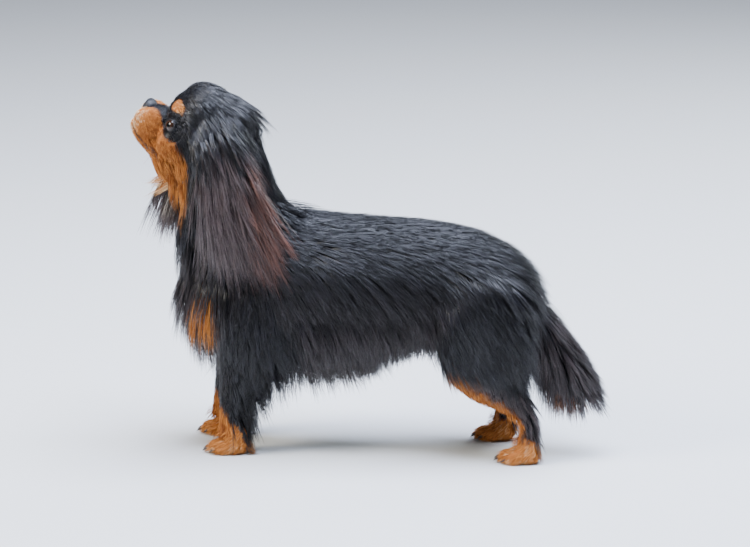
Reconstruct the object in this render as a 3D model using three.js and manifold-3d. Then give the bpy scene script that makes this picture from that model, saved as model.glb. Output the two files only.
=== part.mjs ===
// A cavalier king charles spaniel, black and tan, standing square with its head raised.
// Millimetres, +Z up. The nose points to -X, the left side faces -Y, and the feet stand on Z = 0.
import * as THREE from "three";
import { LoftGeometry } from "three/addons/geometries/LoftGeometry.js";
import { mergeVertices } from "three/addons/utils/BufferGeometryUtils.js";
import Module from "manifold-3d";

const wasm = await Module();
wasm.setup();

// Driving dimensions
const WITHERS_HIGH = 322; // floor to the top of the shoulders, coat included
const CHEST_WIDE = 76; // half width of the ribs
const GAP = 0.3; // between neighbouring pieces
const SUNK = 7; // how deep the root of a lock sits in the body
const EYE = 10.5; // radius of an eyeball
const EYES_APART = 24; // from the middle of the face to each eye
const EYES_HIGH = 4; // above the middle of the head's own frame
const MUZZLE_LONG = 44; // from the eyes' level to the tip of the nose
const HEAD_AT = [-249, -1, 430]; // the point midway between the eyes
const HEAD_UP_DEG = 35; // the face is lifted
const HEAD_LEAN_DEG = 16; // and its top leans to the left
const HEAD_TURN_DEG = -2; // and turns a little to the right

const COLOURS = {
  black: 0x17161a,
  brown: 0x2c1d19,
  tan: 0xb4652b,
  leather: 0x121214,
  eye: 0x1c0f0a,
  cord: 0x202024,
  steel: 0xb8bcc2,
};

const ACROSS = new THREE.Vector3(0, 1, 0);
const vec = (x, y, z) => new THREE.Vector3(x, y, z);
const rad = THREE.MathUtils.degToRad;
const lerp = THREE.MathUtils.lerp;

// Solids

function solid(geometry) {
  const bare = new THREE.BufferGeometry();
  bare.setAttribute("position", geometry.getAttribute("position"));
  bare.setIndex(geometry.index);
  const merged = mergeVertices(bare, 1e-3);
  const triangles = new Uint32Array(merged.index.array);
  const build = () =>
    new wasm.Manifold(
      new wasm.Mesh({
        numProp: 3,
        vertProperties: merged.attributes.position.array,
        triVerts: triangles,
      }),
    );
  const made = build();
  if (made.volume() > 0) return made;
  for (let i = 0; i < triangles.length; i += 3) {
    [triangles[i], triangles[i + 1]] = [triangles[i + 1], triangles[i]];
  }
  return build();
}

const join = (solids) => wasm.Manifold.union(solids);

function largest(made) {
  return made.decompose().reduce((a, b) => (b.volume() > a.volume() ? b : a));
}

function mesh(name, made, colour, roughness = 0.7) {
  const out = made.getMesh();
  const points = new Float32Array(out.numVert * 3);
  for (let i = 0; i < out.numVert; i++) {
    points.set(out.vertProperties.subarray(i * out.numProp, i * out.numProp + 3), i * 3);
  }
  const geometry = new THREE.BufferGeometry();
  geometry.setAttribute("position", new THREE.BufferAttribute(points, 3));
  geometry.setIndex(new THREE.BufferAttribute(out.triVerts, 1));
  geometry.computeVertexNormals();
  const material = new THREE.MeshStandardMaterial({ color: colour, roughness, metalness: 0 });
  const piece = new THREE.Mesh(geometry, material);
  piece.name = name;
  return piece;
}

// A half space: everything on the far side of the plane through `at`, along `normal`
function beyond(at, normal, size = 900) {
  const block = new THREE.BoxGeometry(size, size, size);
  const turn = new THREE.Quaternion().setFromUnitVectors(vec(0, 0, 1), normal);
  block.translate(0, 0, size / 2);
  block.applyQuaternion(turn);
  block.translate(at.x, at.y, at.z);
  return solid(block);
}

// Flesh: rounded forms through oval sections

// Each row is a centre, a half width, and the half depths in front of and behind the centre.
function form(rows, { sides = 16, steps = 10, caps = [12, 12], across = ACROSS } = {}) {
  const centres = new THREE.CatmullRomCurve3(rows.map((r) => vec(r[0], r[1], r[2])));
  const sizes = new THREE.CatmullRomCurve3(rows.map((r) => vec(r[3], r[4], r[5])));
  const frame = (t) => {
    const along = centres.getTangent(t);
    const side = across.clone().addScaledVector(along, -across.dot(along)).normalize();
    return { along, side, fore: side.clone().cross(along).normalize() };
  };
  // The surface at t along the form, turned by `angle` from its front towards +Y
  const point = (t, angle, grow = 0, share = 1, shift = 0) => {
    const { along, side, fore } = frame(t);
    const size = sizes.getPoint(t).addScalar(grow);
    const deep = Math.cos(angle) > 0 ? size.y : size.z;
    return centres
      .getPoint(t)
      .addScaledVector(along, shift)
      .addScaledVector(side, Math.sin(angle) * size.x * share)
      .addScaledVector(fore, Math.cos(angle) * deep * share);
  };
  const normal = (t, angle) => {
    const e = 0.01;
    const a = point(Math.min(t + e, 1), angle).sub(point(Math.max(t - e, 0), angle));
    const b = point(t, angle + e).sub(point(t, angle - e));
    const out = a.cross(b).normalize();
    const mid = point(t, angle).sub(centres.getPoint(t));
    return out.dot(mid) < 0 ? out.negate() : out;
  };
  const section = (t, grow, share, shift) =>
    Array.from({ length: sides }, (_, i) =>
      point(t, (i / sides) * 2 * Math.PI, grow, share, shift),
    );
  const geometry = (grow = 0) => {
    const sections = [];
    const round = [25, 60];
    for (const a of round) {
      const away = -(caps[0] + grow) * Math.cos(rad(a));
      sections.push(section(0, grow, Math.sin(rad(a)), away));
    }
    for (let i = 0; i <= steps; i++) sections.push(section(i / steps, grow, 1, 0));
    for (const a of [...round].reverse()) {
      const away = (caps[1] + grow) * Math.cos(rad(a));
      sections.push(section(1, grow, Math.sin(rad(a)), away));
    }
    return new LoftGeometry(sections, { capStart: true, capEnd: true });
  };
  return { point, normal, geometry, centres, solid: (grow) => solid(geometry(grow)) };
}

function ball(centre, radii, grow = 0, sides = 12, rows = 8) {
  const made = new THREE.SphereGeometry(1, sides, rows);
  made.scale(radii[0] + grow, radii[1] + grow, radii[2] + grow);
  made.translate(...centre);
  return made;
}

// Torso and neck

const torso = form(
  [
    [-228, 0, 226, 34, 42, 42],
    [-205, 0, 226, 58, 74, 72],
    [-165, 0, 229, 72, 90, 88],
    [-105, 0, 230, CHEST_WIDE, 94, WITHERS_HIGH - 230],
    [-50, 0, 228, CHEST_WIDE + 1, 92, 88],
    [10, 0, 226, CHEST_WIDE, 88, 86],
    [65, 0, 229, 71, 80, 81],
    [115, 0, 231, 68, 72, 71],
    [155, 0, 226, 66, 62, 57],
    [188, 0, 210, 56, 50, 42],
    [208, 0, 199, 38, 34, 25],
  ],
  { sides: 16, steps: 14, caps: [14, 12] },
);

const neck = form(
  [
    [-204, 0, 432, 44, 52, 60],
    [-197, 0, 400, 46, 56, 62],
    [-188, 0, 360, 50, 64, 66],
    [-176, 0, 320, 56, 72, 68],
    [-162, 0, 280, 64, 80, 76],
    [-150, 0, 240, 62, 82, 78],
  ],
  { sides: 14, steps: 6, caps: [20, 30] },
);

const WITHERS_CUT = { at: vec(-95, 0, 329), normal: vec(-0.482, 0, 0.876).normalize() };
const THROAT_CUT = { at: vec(-200, 0, 391), normal: vec(-0.571, 0, 0.821).normalize() };

// Head: one skin drawn over smoothly blended ovals, in the head's own frame (forward, left, up)

const headFrame = new THREE.Matrix4()
  .makeTranslation(...HEAD_AT)
  .multiply(new THREE.Matrix4().makeRotationZ(rad(HEAD_TURN_DEG)))
  .multiply(new THREE.Matrix4().makeRotationY(rad(HEAD_UP_DEG)))
  .multiply(new THREE.Matrix4().makeRotationX(rad(HEAD_LEAN_DEG)))
  .multiply(new THREE.Matrix4().makeBasis(vec(-1, 0, 0), vec(0, -1, 0), vec(0, 0, 1)));

const pair = (f, l, u, ...r) => [[f, l, u, ...r], [f, -l, u, ...r]];
const HEAD_OVALS = [
  [-36, 0, 14, 48, 45, 42], // skull
  [-56, 0, 24, 46, 43, 40], // back of the skull with its coat
  [-60, 0, 44, 38, 36, 36], // coat over the nape
  [-28, 0, 44, 38, 36, 28], // coat over the crown
  [-4, 0, 22, 20, 27, 20], // forehead
  ...pair(-1, 17, 17, 13, 12, 9), // brows
  ...pair(-22, 25, -16, 28, 23, 27), // cheeks
  [12, 0, -12, 30, 19, 17], // muzzle
  ...pair(26, 13, -20, 21, 15, 20), // upper lips
  [28, 0, -40, 20, 15, 12], // chin
  [2, 0, -44, 36, 24, 17], // jaw
  [-30, 0, -44, 36, 34, 36], // throat
];
const BLEND = 9;

function headDepth(p, grow) {
  let depth = Infinity;
  for (const [f, l, u, rf, rl, ru] of HEAD_OVALS) {
    const q = vec((p.x - f) / rf, (p.y - l) / rl, (p.z - u) / ru);
    const k0 = q.length();
    const k1 = vec(q.x / rf, q.y / rl, q.z / ru).length();
    const d = (k0 * (k0 - 1)) / Math.max(k1, 1e-6);
    const h = Math.max(BLEND - Math.abs(depth - d), 0) / BLEND;
    depth = depth === Infinity ? d : Math.min(depth, d) - h * h * BLEND * 0.25;
  }
  return depth - grow;
}

const HEAD_HEART = vec(-22, 0, 2);

function onHead(direction, grow = 0) {
  let near = 0;
  let far = 150;
  while (far > 4 && headDepth(HEAD_HEART.clone().addScaledVector(direction, far), grow) > 0) far -= 4;
  near = far;
  far += 4;
  for (let i = 0; i < 14; i++) {
    const mid = (near + far) / 2;
    if (headDepth(HEAD_HEART.clone().addScaledVector(direction, mid), grow) > 0) far = mid;
    else near = mid;
  }
  return HEAD_HEART.clone().addScaledVector(direction, near);
}

function headSkin(grow = 0) {
  const skin = new THREE.SphereGeometry(1, 30, 21);
  skin.rotateZ(Math.PI / 2); // the poles lie at the nose and the nape
  const at = skin.getAttribute("position");
  for (let i = 0; i < at.count; i++) {
    const p = onHead(vec(at.getX(i), at.getY(i), at.getZ(i)).normalize(), grow);
    at.setXYZ(i, p.x, p.y, p.z);
  }
  return skin.applyMatrix4(headFrame);
}

const inHead = (geometry) => geometry.applyMatrix4(headFrame);

// Each eye looks forward and out, set back in the skin by most of its radius
const LOOK = [0.62, 0.77, 0.12];
const SET_BACK = 0.5;

function eyePlace(side) {
  const face = onHead(vec(14, side * EYES_APART, EYES_HIGH).normalize());
  const look = vec(LOOK[0], side * LOOK[1], LOOK[2]).normalize();
  return face.addScaledVector(look, -EYE * SET_BACK).toArray();
}

function eyeBall(side, grow = 0) {
  return inHead(ball(eyePlace(side), [EYE, EYE, EYE], grow, 12, 9));
}

const LID = { out: 6.2, radius: 8.6, thick: 2 };

function lids(side) {
  const ring = new THREE.TorusGeometry(LID.radius, LID.thick, 5, 14);
  ring.scale(1, 0.9, 1);
  const look = vec(LOOK[0], side * LOOK[1], LOOK[2]).normalize();
  ring.applyQuaternion(new THREE.Quaternion().setFromUnitVectors(vec(0, 0, 1), look));
  const [f, l, u] = eyePlace(side);
  ring.translate(f + look.x * LID.out, l + look.y * LID.out, u + look.z * LID.out);
  return inHead(ring);
}

function tube(points, radius, steps, sides = 6) {
  const path = new THREE.CatmullRomCurve3(points);
  const section = new THREE.Shape(
    Array.from({ length: sides }, (_, i) => {
      const a = (i / sides) * 2 * Math.PI;
      return new THREE.Vector2(Math.cos(a) * radius, Math.sin(a) * radius);
    }),
  );
  return new THREE.ExtrudeGeometry(section, { extrudePath: path, steps, bevelEnabled: false });
}

// The line between the lips runs from under the nose, round the muzzle, to the corner of the mouth.
function mouthLine(side) {
  const marks = [
    [48, 1, -31],
    [42, 11, -38],
    [27, 19, -46],
    [12, 23, -48],
    [-6, 27, -46],
  ];
  const points = marks.map(([f, l, u]) => {
    const way = vec(f, side * l, u).sub(HEAD_HEART).normalize();
    return onHead(way, 0.2).applyMatrix4(headFrame);
  });
  return tube(points, 1.3, 7, 3);
}

const NOSE = { at: [MUZZLE_LONG - 8, 0, -7], size: [9.2, 11.8, 9] };

function noseLeather(grow = 0) {
  return inHead(ball(NOSE.at, NOSE.size, grow, 12, 9));
}

function nostril(side) {
  const hole = ball([0, 0, 0], [5, 2.4, 2], 0, 6, 5);
  hole.rotateZ(side * 0.5);
  hole.translate(NOSE.at[0] + 7.2, side * 6.2, NOSE.at[2] - 0.5);
  return inHead(hole);
}

function philtrum() {
  const slot = new THREE.BoxGeometry(8, 1.2, 14);
  slot.translate(NOSE.at[0] + 10.5, 0, NOSE.at[2] - 8);
  return inHead(slot);
}

// Legs: rows run from the body down to the wrist or hock

const FOOT_HIGH = 24;

function foreLeg(side, ahead) {
  const y = (d) => side * d;
  return form(
    [
      [-136 - ahead * 0.2, y(44), 232, 24, 44, 44],
      [-144 - ahead * 0.4, y(50), 188, 28, 44, 46],
      [-156 - ahead * 0.6, y(51), 148, 26, 36, 38],
      [-166 - ahead * 0.8, y(49), 110, 21, 26, 27],
      [-172 - ahead * 0.9, y(47), 75, 17, 20, 20],
      [-175 - ahead, y(47), 44, 16, 17.5, 17],
      [-178 - ahead, y(47), FOOT_HIGH, 17, 18, 18],
    ],
    { sides: 9, steps: 8, caps: [18, 4] },
  );
}

function hindLeg(side, ahead) {
  const y = (d) => side * d;
  return form(
    [
      [158, y(40), 236, 28, 50, 50],
      [148 - ahead * 0.2, y(50), 194, 32, 58, 60],
      [146 - ahead * 0.4, y(54), 152, 30, 56, 60],
      [156 - ahead * 0.6, y(55), 116, 25, 44, 48],
      [180 - ahead * 0.8, y(54), 88, 19, 26, 30],
      [204 - ahead, y(54), 66, 14, 16, 18],
      [209 - ahead, y(55), 44, 13, 14, 14],
      [207 - ahead, y(55), FOOT_HIGH, 14, 15, 15],
    ],
    { sides: 9, steps: 10, caps: [18, 4] },
  );
}

// A paw of four toes round a palm, on flat pads, with its claws
const CLAW_LONG = 7;
const TOES = [
  [-12, -13.5, 14],
  [-20, -5.2, 16],
  [-20, 5.2, 16],
  [-12, 13.5, 14],
];

function paw(x, y, grow) {
  const pieces = [
    solid(ball([x + 2, y, 12], [21, 18, 16], grow, 8, 5)),
    solid(ball([x + 4, y, FOOT_HIGH + 2], [16, 15, 15], grow, 7, 4)),
  ];
  for (const [dx, dy, long] of TOES) {
    pieces.push(solid(ball([x + dx, y + dy, 8.5], [long, 6.8, 11], grow, 6, 5)));
    const claw = new THREE.ConeGeometry(2.1 + grow, CLAW_LONG + grow, 3);
    claw.rotateZ(Math.PI / 2 + 0.5);
    claw.translate(x + dx - long - 1, y + dy * 1.05, 5);
    pieces.push(solid(claw));
  }
  return join(pieces).subtract(beyond(vec(x, y, 0), vec(0, 0, -1), 200));
}

// Where the left feet stand, and how far ahead of them the right ones are
const FORE_FOOT = [-171, 47];
const HIND_FOOT = [207, 55];
const FORE_AHEAD = { left: 0, right: 22 };
const HIND_AHEAD = { left: 0, right: 38 };
const SIDES = { left: -1, right: 1 };

// Tail: the bone hangs down and back, and its plume fans out below and behind it

const tail = form(
  [
    [210, 0, 208, 16, 18, 10],
    [230, 0, 176, 18, 22, 11],
    [252, 0, 142, 18, 24, 13],
    [268, 0, 112, 14, 20, 14],
    [279, 0, 90, 8, 12, 10],
  ],
  { sides: 8, steps: 5, caps: [8, 8] },
);

// Locks: flat, tapered leaves of hair that bend along their path

const random = (seed) => () => {
  seed = (seed * 1664525 + 1013904223) % 4294967296;
  return seed / 4294967296;
};

// A lock leaves `root` along `out`, bends towards `down`, and lies flat across `flat`.
function lock(root, out, down, flat, long, wide, thick, grow = 0) {
  const start = root.clone().addScaledVector(out, -SUNK);
  const knee = root.clone().addScaledVector(out, long * 0.5);
  const tip = knee.clone().addScaledVector(down, long * 0.55 + grow);
  const path = new THREE.QuadraticBezierCurve3(start, knee, tip);
  const leaf = new THREE.ConeGeometry(1, 1, 4, 3);
  const at = leaf.getAttribute("position");
  for (let i = 0; i < at.count; i++) {
    const t = at.getY(i) + 0.5;
    const r = Math.max(1 - t, 1e-6);
    const along = path.getTangent(t);
    const side = flat.clone().cross(along).normalize();
    const face = along.clone().cross(side).normalize();
    const fade = t > 0.999 ? 0 : 1;
    const w = (wide * (0.6 + 1.7 * t * (1 - t)) * (1 - 0.3 * t) + grow) * fade;
    const h = (thick * (1 - 0.7 * t) + grow) * fade;
    const p = path
      .getPoint(t)
      .addScaledVector(side, (at.getX(i) / r) * w)
      .addScaledVector(face, (at.getZ(i) / r) * h);
    at.setXYZ(i, p.x, p.y, p.z);
  }
  return solid(leaf);
}

// Ears: thin cupped flaps that hang from the sides of the skull, with long hair to well below them

const LEATHER = {
  left: [
    [-190, -50, 430, 20, 4, 4],
    [-186, -57, 410, 28, 4, 4],
    [-183, -62, 384, 32, 4, 4],
    [-176, -66, 356, 30, 4, 4],
    [-171, -69, 334, 20, 3, 3],
  ],
  right: [
    [-205, 46, 428, 20, 4, 4],
    [-218, 56, 408, 27, 4, 4],
    [-232, 62, 380, 30, 4, 4],
    [-243, 65, 352, 27, 4, 4],
    [-250, 66, 332, 18, 3, 3],
  ],
};
// How the hair of each ear falls: where its outer edges end in X, and how low
const EAR_FALL = {
  left: { fore: -214, aft: -80, low: 232, lift: 22, out: -80 },
  right: { fore: -296, aft: -218, low: 252, lift: 22, out: 66 },
};
const CUP = 5; // the flap's edges curl towards the head
const FLAP = { top: 430, long: 96, half: 30 };

function earFlap(name, grow) {
  const flap = form(LEATHER[name], { sides: 12, steps: 7, caps: [5, 5], across: vec(1, 0, 0) });
  const geometry = flap.geometry(grow);
  const at = geometry.getAttribute("position");
  for (let i = 0; i < at.count; i++) {
    const t = THREE.MathUtils.clamp((FLAP.top - at.getZ(i)) / FLAP.long, 0, 1);
    const middle = flap.centres.getPoint(t).x;
    const edge = Math.min(Math.abs(at.getX(i) - middle) / FLAP.half, 1);
    at.setY(i, at.getY(i) - SIDES[name] * CUP * edge * edge);
  }
  return solid(geometry);
}

function earLocks(name, grow) {
  const side = SIDES[name];
  const fall = EAR_FALL[name];
  const rows = LEATHER[name];
  const flap = form(rows, { across: vec(1, 0, 0) });
  const chance = random(11);
  const made = [];
  const tiers = [
    { t: 0.95, count: 7, reach: 1 },
    { t: 0.7, count: 5, reach: 0.84 },
    { t: 0.42, count: 4, reach: 0.55 },
  ];
  for (const { t, count, reach } of tiers) {
    const middle = flap.centres.getPoint(t);
    const width = lerp(FLAP.half, 17, t);
    for (let i = 0; i < count; i++) {
      const k = i / (count - 1);
      const root = vec(middle.x + lerp(-width, width, k) * 0.85, middle.y + side * (1 - t) * 2, middle.z);
      const low = lerp(fall.low, middle.z, 1 - reach) + fall.lift * (k - 0.45) ** 2 * 4 * reach;
      const tipX = lerp(fall.fore, fall.aft, k) * reach + root.x * (1 - reach) + (chance() - 0.5) * 10;
      const tip = vec(tipX, lerp(root.y, fall.out, reach) + side * (chance() * 4), low - chance() * 12);
      const way = tip.clone().sub(root);
      const long = way.length();
      const out = way.clone().normalize().add(vec(0, 0, -0.35)).normalize();
      const down = way.clone().addScaledVector(out, -long * 0.5).normalize();
      const flat = vec(0.1 * (chance() - 0.5), side, 0.15);
      made.push(lock(root, out, down, flat, long / 1.02, 10 + chance() * 4, 2.4, grow));
    }
  }
  return made;
}

const ear = (name) => (grow) => join([earFlap(name, grow), ...earLocks(name, grow)]);

// Long coat of the body: each band of roots on a surface, the way it falls, and its length

function band(surface, { rows, spread, count, seed, long, wide, fall, flare = 0.25, thick = 2.4 }, grow) {
  const chance = random(seed);
  const made = [];
  for (const t of rows) {
    for (let i = 0; i < count; i++) {
      const k = (i / (count - 1)) * 2 - 1;
      const angle = spread[0] + k * spread[1] + (chance() - 0.5) * 0.15;
      const where = THREE.MathUtils.clamp(t + (chance() - 0.5) * 0.05, 0, 1);
      const root = surface.point(where, angle);
      const normal = surface.normal(where, angle);
      const down = fall(where, k, chance).normalize();
      const out = down.clone().addScaledVector(normal, flare).normalize();
      const size = long(where, k) * (0.85 + chance() * 0.3);
      made.push(lock(root, out, down, normal, size, wide * (0.85 + chance() * 0.3), thick, grow));
    }
  }
  return made;
}

const towards = (x, z, sway = 0.25) => (where, k, chance) =>
  vec(x + (chance() - 0.5) * 0.12, k * sway + (chance() - 0.5) * 0.1, z);

// The chest frill hangs from the front of the neck and the breast to between the forelegs.
const throatFrill = (grow) =>
  band(
    neck,
    {
      rows: [0.5, 0.72],
      spread: [0, 0.95],
      count: 4,
      seed: 3,
      long: () => 84,
      wide: 16,
      fall: towards(-0.14, -1, 0.1),
      flare: 0.2,
    },
    grow,
  );

const chestFrill = (grow) => [
  ...band(
    neck,
    {
      rows: [0.93],
      spread: [0, 0.9],
      count: 6,
      seed: 5,
      long: (t, k) => 98 - 14 * Math.abs(k),
      wide: 12,
      fall: towards(-0.12, -1, 0.08),
      flare: 0.4,
    },
    grow,
  ),
  ...band(
    torso,
    {
      rows: [0.0, 0.05, 0.11],
      spread: [0, 0.8],
      count: 4,
      seed: 7,
      long: (t, k) => 92 - 16 * Math.abs(k) + 60 * t,
      wide: 13,
      fall: towards(0.04, -1, -0.12),
      flare: 0.2,
    },
    grow,
  ),
];

// The fringe of the belly is longest behind the forelegs.
const bellyFringe = (grow) =>
  band(
    torso,
    {
      rows: [0.25, 0.3, 0.35, 0.4, 0.45, 0.5, 0.55, 0.6, 0.65],
      spread: [0, 0.3],
      count: 2,
      seed: 13,
      long: (t) => 70 - 34 * THREE.MathUtils.smoothstep(t, 0.4, 0.56),
      wide: 17,
      fall: towards(0.14, -1, 0.12),
      flare: 0.05,
    },
    grow,
  );

const tailPlume = (grow) => [
  tail.solid(grow),
  ...[0.3, 0.5, 0.7, 0.9].flatMap((t, i) =>
    band(
      tail,
      {
        rows: [t],
        spread: [Math.PI + 0.3 * (i % 2), Math.PI * 0.8],
        count: 5,
        seed: 17 + i,
        long: (where) => 64 - 18 * where,
        wide: 13,
        fall: (where, k) => vec(0.42 - 0.55 * Math.abs(k), 0, -0.95),
        flare: 0.34,
      },
      grow,
    ),
  ),
];

const foreFeather = (side, ahead) => (grow) =>
  band(
    foreLeg(side, ahead),
    {
      rows: [0.3, 0.47, 0.62, 0.77],
      spread: [Math.PI, 0.5],
      count: 2,
      seed: 29,
      long: (t) => 74 - 46 * t,
      wide: 11,
      fall: towards(0.42, -1, 0.05),
      flare: 0.35,
    },
    grow,
  );

const hindFeather = (side, ahead) => (grow) => [
  ...band(
    hindLeg(side, ahead),
    {
      rows: [0.34, 0.46, 0.57],
      spread: [Math.PI, 0.5],
      count: 2,
      seed: 31,
      long: () => 58,
      wide: 14,
      fall: towards(0.12, -1, 0.05),
      flare: 0.12,
    },
    grow,
  ),
  ...band(
    hindLeg(side, ahead),
    {
      rows: [0.68, 0.8],
      spread: [Math.PI, 0.4],
      count: 2,
      seed: 37,
      long: () => 46,
      wide: 10,
      fall: towards(0.3, -1, 0.05),
      flare: 0.3,
    },
    grow,
  ),
];

// The collar is a round cord laid over the coat of the neck just behind the ears.
const COLLAR = { behind: 13, thick: 3, ring: 6.5, wire: 1.3 };

function collarPath() {
  const proud = COLLAR.thick + GAP; // it lies on the coat
  const at = THROAT_CUT.at.clone().addScaledVector(THROAT_CUT.normal, -COLLAR.behind);
  const height = (t, angle) => neck.point(t, angle, proud).sub(at).dot(THROAT_CUT.normal);
  const points = [];
  for (let i = 0; i < 14; i++) {
    const angle = (i / 14) * 2 * Math.PI;
    let low = 0;
    let high = 1;
    for (let k = 0; k < 20; k++) {
      const mid = (low + high) / 2;
      if (height(mid, angle) > 0) low = mid;
      else high = mid;
    }
    points.push(neck.point((low + high) / 2, angle, proud));
  }
  return new THREE.CatmullRomCurve3(points, true);
}

const cord = (grow) => solid(new THREE.TubeGeometry(collarPath(), 22, COLLAR.thick + grow, 5, true));

function cordRing(grow) {
  const ring = new THREE.TorusGeometry(COLLAR.ring, COLLAR.wire + grow, 4, 12);
  const nape = collarPath().getPoint(0.5);
  ring.translate(nape.x, nape.y, nape.z);
  return solid(ring);
}

// Assembly: each piece is cut clear of the ones before it

const dog = new THREE.Group();
const done = []; // the pieces made so far, grown by the gap

function place(name, made, colour, roughness, grown) {
  let cut = made;
  for (const other of done) cut = cut.subtract(other);
  if (grown) done.push(grown);
  dog.add(mesh(name, largest(cut), colour, roughness));
}

const aboveThroat = (grow) =>
  beyond(THROAT_CUT.at.clone().addScaledVector(THROAT_CUT.normal, -grow), THROAT_CUT.normal);
const aboveWithers = (grow) =>
  beyond(WITHERS_CUT.at.clone().addScaledVector(WITHERS_CUT.normal, -grow), WITHERS_CUT.normal);
const belowWithers = beyond(WITHERS_CUT.at, WITHERS_CUT.normal.clone().negate());
const bothSides = (make) => join([make(-1), make(1)]);

for (const [name, side] of Object.entries(SIDES)) {
  place(`eye_${name}`, solid(eyeBall(-side)), COLOURS.eye, 0.1, solid(eyeBall(-side, GAP)));
}
let nose = solid(noseLeather()).subtract(solid(philtrum())).subtract(bothSides((s) => solid(nostril(s))));
place("nose", nose, COLOURS.leather, 0.4, solid(noseLeather(GAP)));

const headWhole = (grow) =>
  join([solid(headSkin(grow)), solid(lids(-1)), solid(lids(1))]).intersect(aboveThroat(grow - GAP));
let head = headWhole(0).subtract(bothSides((s) => solid(mouthLine(s)))).subtract(solid(philtrum()));
place("head", head, COLOURS.black, 0.7, headWhole(GAP));

place("collar", cord(0), COLOURS.cord, 0.6, cord(GAP));
place("collar_ring", cordRing(0), COLOURS.steel, 0.3, cordRing(GAP));

for (const [name, side] of Object.entries(SIDES)) {
  const foreAhead = FORE_AHEAD[name];
  const hindAhead = HIND_AHEAD[name];
  const forePaw = (grow) => paw(FORE_FOOT[0] - foreAhead, side * FORE_FOOT[1], grow);
  const hindPaw = (grow) => paw(HIND_FOOT[0] - hindAhead, side * HIND_FOOT[1], grow);
  const fore = (grow) =>
    join([foreLeg(side, foreAhead).solid(grow), ...foreFeather(side, foreAhead)(grow)]);
  const hind = (grow) =>
    join([hindLeg(side, hindAhead).solid(grow), ...hindFeather(side, hindAhead)(grow)]);
  place(`forepaw_${name}`, forePaw(0), COLOURS.tan, 0.8, forePaw(GAP));
  place(`hindpaw_${name}`, hindPaw(0), COLOURS.tan, 0.8, hindPaw(GAP));
  place(`foreleg_${name}`, fore(0), COLOURS.black, 0.7, fore(GAP));
  place(`hindleg_${name}`, hind(0), COLOURS.black, 0.7, hind(GAP));
}

const body = (grow) => join([torso.solid(grow), neck.solid(grow)]);
const belowThroat = beyond(THROAT_CUT.at, THROAT_CUT.normal.clone().negate());
const upper = (grow) =>
  join([
    body(grow).intersect(aboveWithers(grow - GAP)).intersect(belowThroat),
    ...throatFrill(grow),
  ]);
place("neck", upper(0), COLOURS.black, 0.7, upper(GAP));
place("tail", join(tailPlume(0)), COLOURS.black, 0.7, join(tailPlume(GAP)));
const trunk = (grow) =>
  join([body(grow).intersect(belowWithers), ...chestFrill(grow), ...bellyFringe(grow)]);
place("torso", trunk(0), COLOURS.black, 0.7, trunk(GAP));
for (const name of Object.keys(SIDES)) {
  place(`ear_${name}`, ear(name)(0), COLOURS.brown, 0.7, ear(name)(GAP));
}

export default dog;
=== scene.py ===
from math import cos, pi, radians, sin

import bmesh
import bpy
import numpy as np
from mathutils import Matrix, Vector
from mathutils.bvhtree import BVHTree
from mathutils.kdtree import KDTree


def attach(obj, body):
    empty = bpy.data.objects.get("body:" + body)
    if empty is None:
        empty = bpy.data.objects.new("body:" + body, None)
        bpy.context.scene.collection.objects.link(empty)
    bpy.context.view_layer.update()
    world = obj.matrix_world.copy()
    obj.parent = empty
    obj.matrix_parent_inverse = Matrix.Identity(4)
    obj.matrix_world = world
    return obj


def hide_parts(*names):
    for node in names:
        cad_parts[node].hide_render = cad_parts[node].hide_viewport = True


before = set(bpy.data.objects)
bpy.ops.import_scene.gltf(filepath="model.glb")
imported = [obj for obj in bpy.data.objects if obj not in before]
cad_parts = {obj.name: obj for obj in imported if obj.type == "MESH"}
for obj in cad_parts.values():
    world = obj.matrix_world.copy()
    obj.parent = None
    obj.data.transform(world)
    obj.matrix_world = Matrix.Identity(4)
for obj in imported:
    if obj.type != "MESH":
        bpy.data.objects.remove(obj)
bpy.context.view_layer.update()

# Camera
# The dog is seen from its left, a little from in front and above, through a long lens, with its
# back half a hand below the middle of the frame.

CAMERA_TARGET = Vector((0.0, 0.0, 0.215))
CAMERA_TURN, CAMERA_RISE = radians(6.0), radians(13.0)
CAMERA_AWAY = 4.5
TARGET_PIXEL = (368.5, 286.0)
FRAME_PIXELS = (750, 547)
METRES_PER_PIXEL = 0.00129
SENSOR = 36.0

camera_data = bpy.data.cameras.new("camera")
camera_data.sensor_width = SENSOR
camera_data.lens = CAMERA_AWAY / METRES_PER_PIXEL * SENSOR / FRAME_PIXELS[0]
camera_data.shift_x = (FRAME_PIXELS[0] / 2 - TARGET_PIXEL[0]) / FRAME_PIXELS[0]
camera_data.shift_y = (TARGET_PIXEL[1] - FRAME_PIXELS[1] / 2) / FRAME_PIXELS[0]
camera = bpy.data.objects.new("camera", camera_data)
bpy.context.collection.objects.link(camera)
towards_camera = Vector((
    sin(CAMERA_TURN) * cos(CAMERA_RISE),
    -cos(CAMERA_TURN) * cos(CAMERA_RISE),
    sin(CAMERA_RISE),
))
camera.location = CAMERA_TARGET + towards_camera * CAMERA_AWAY
camera.rotation_euler = towards_camera.to_track_quat("Z", "Y").to_euler()
bpy.context.scene.camera = camera

# Floor and light
# A pale seamless floor under a dim cool air, a warm soft key from the left, a broad cool light from
# above that draws the sheen of the black coat, and a weak rim from behind.

FLOOR_COLOUR, FLOOR_HALF = (0.60, 0.60, 0.58, 1), 40
AIR_COLOUR, AIR_STRENGTH = (0.80, 0.90, 1.0, 1), 0.16


def new_material(name):
    material = bpy.data.materials.new(name)
    material.use_nodes = True
    nodes = material.node_tree.nodes
    return material, nodes, material.node_tree.links, nodes["Principled BSDF"]


def set_inputs(node, values):
    for socket, value in values.items():
        node.inputs[socket].default_value = value


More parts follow.
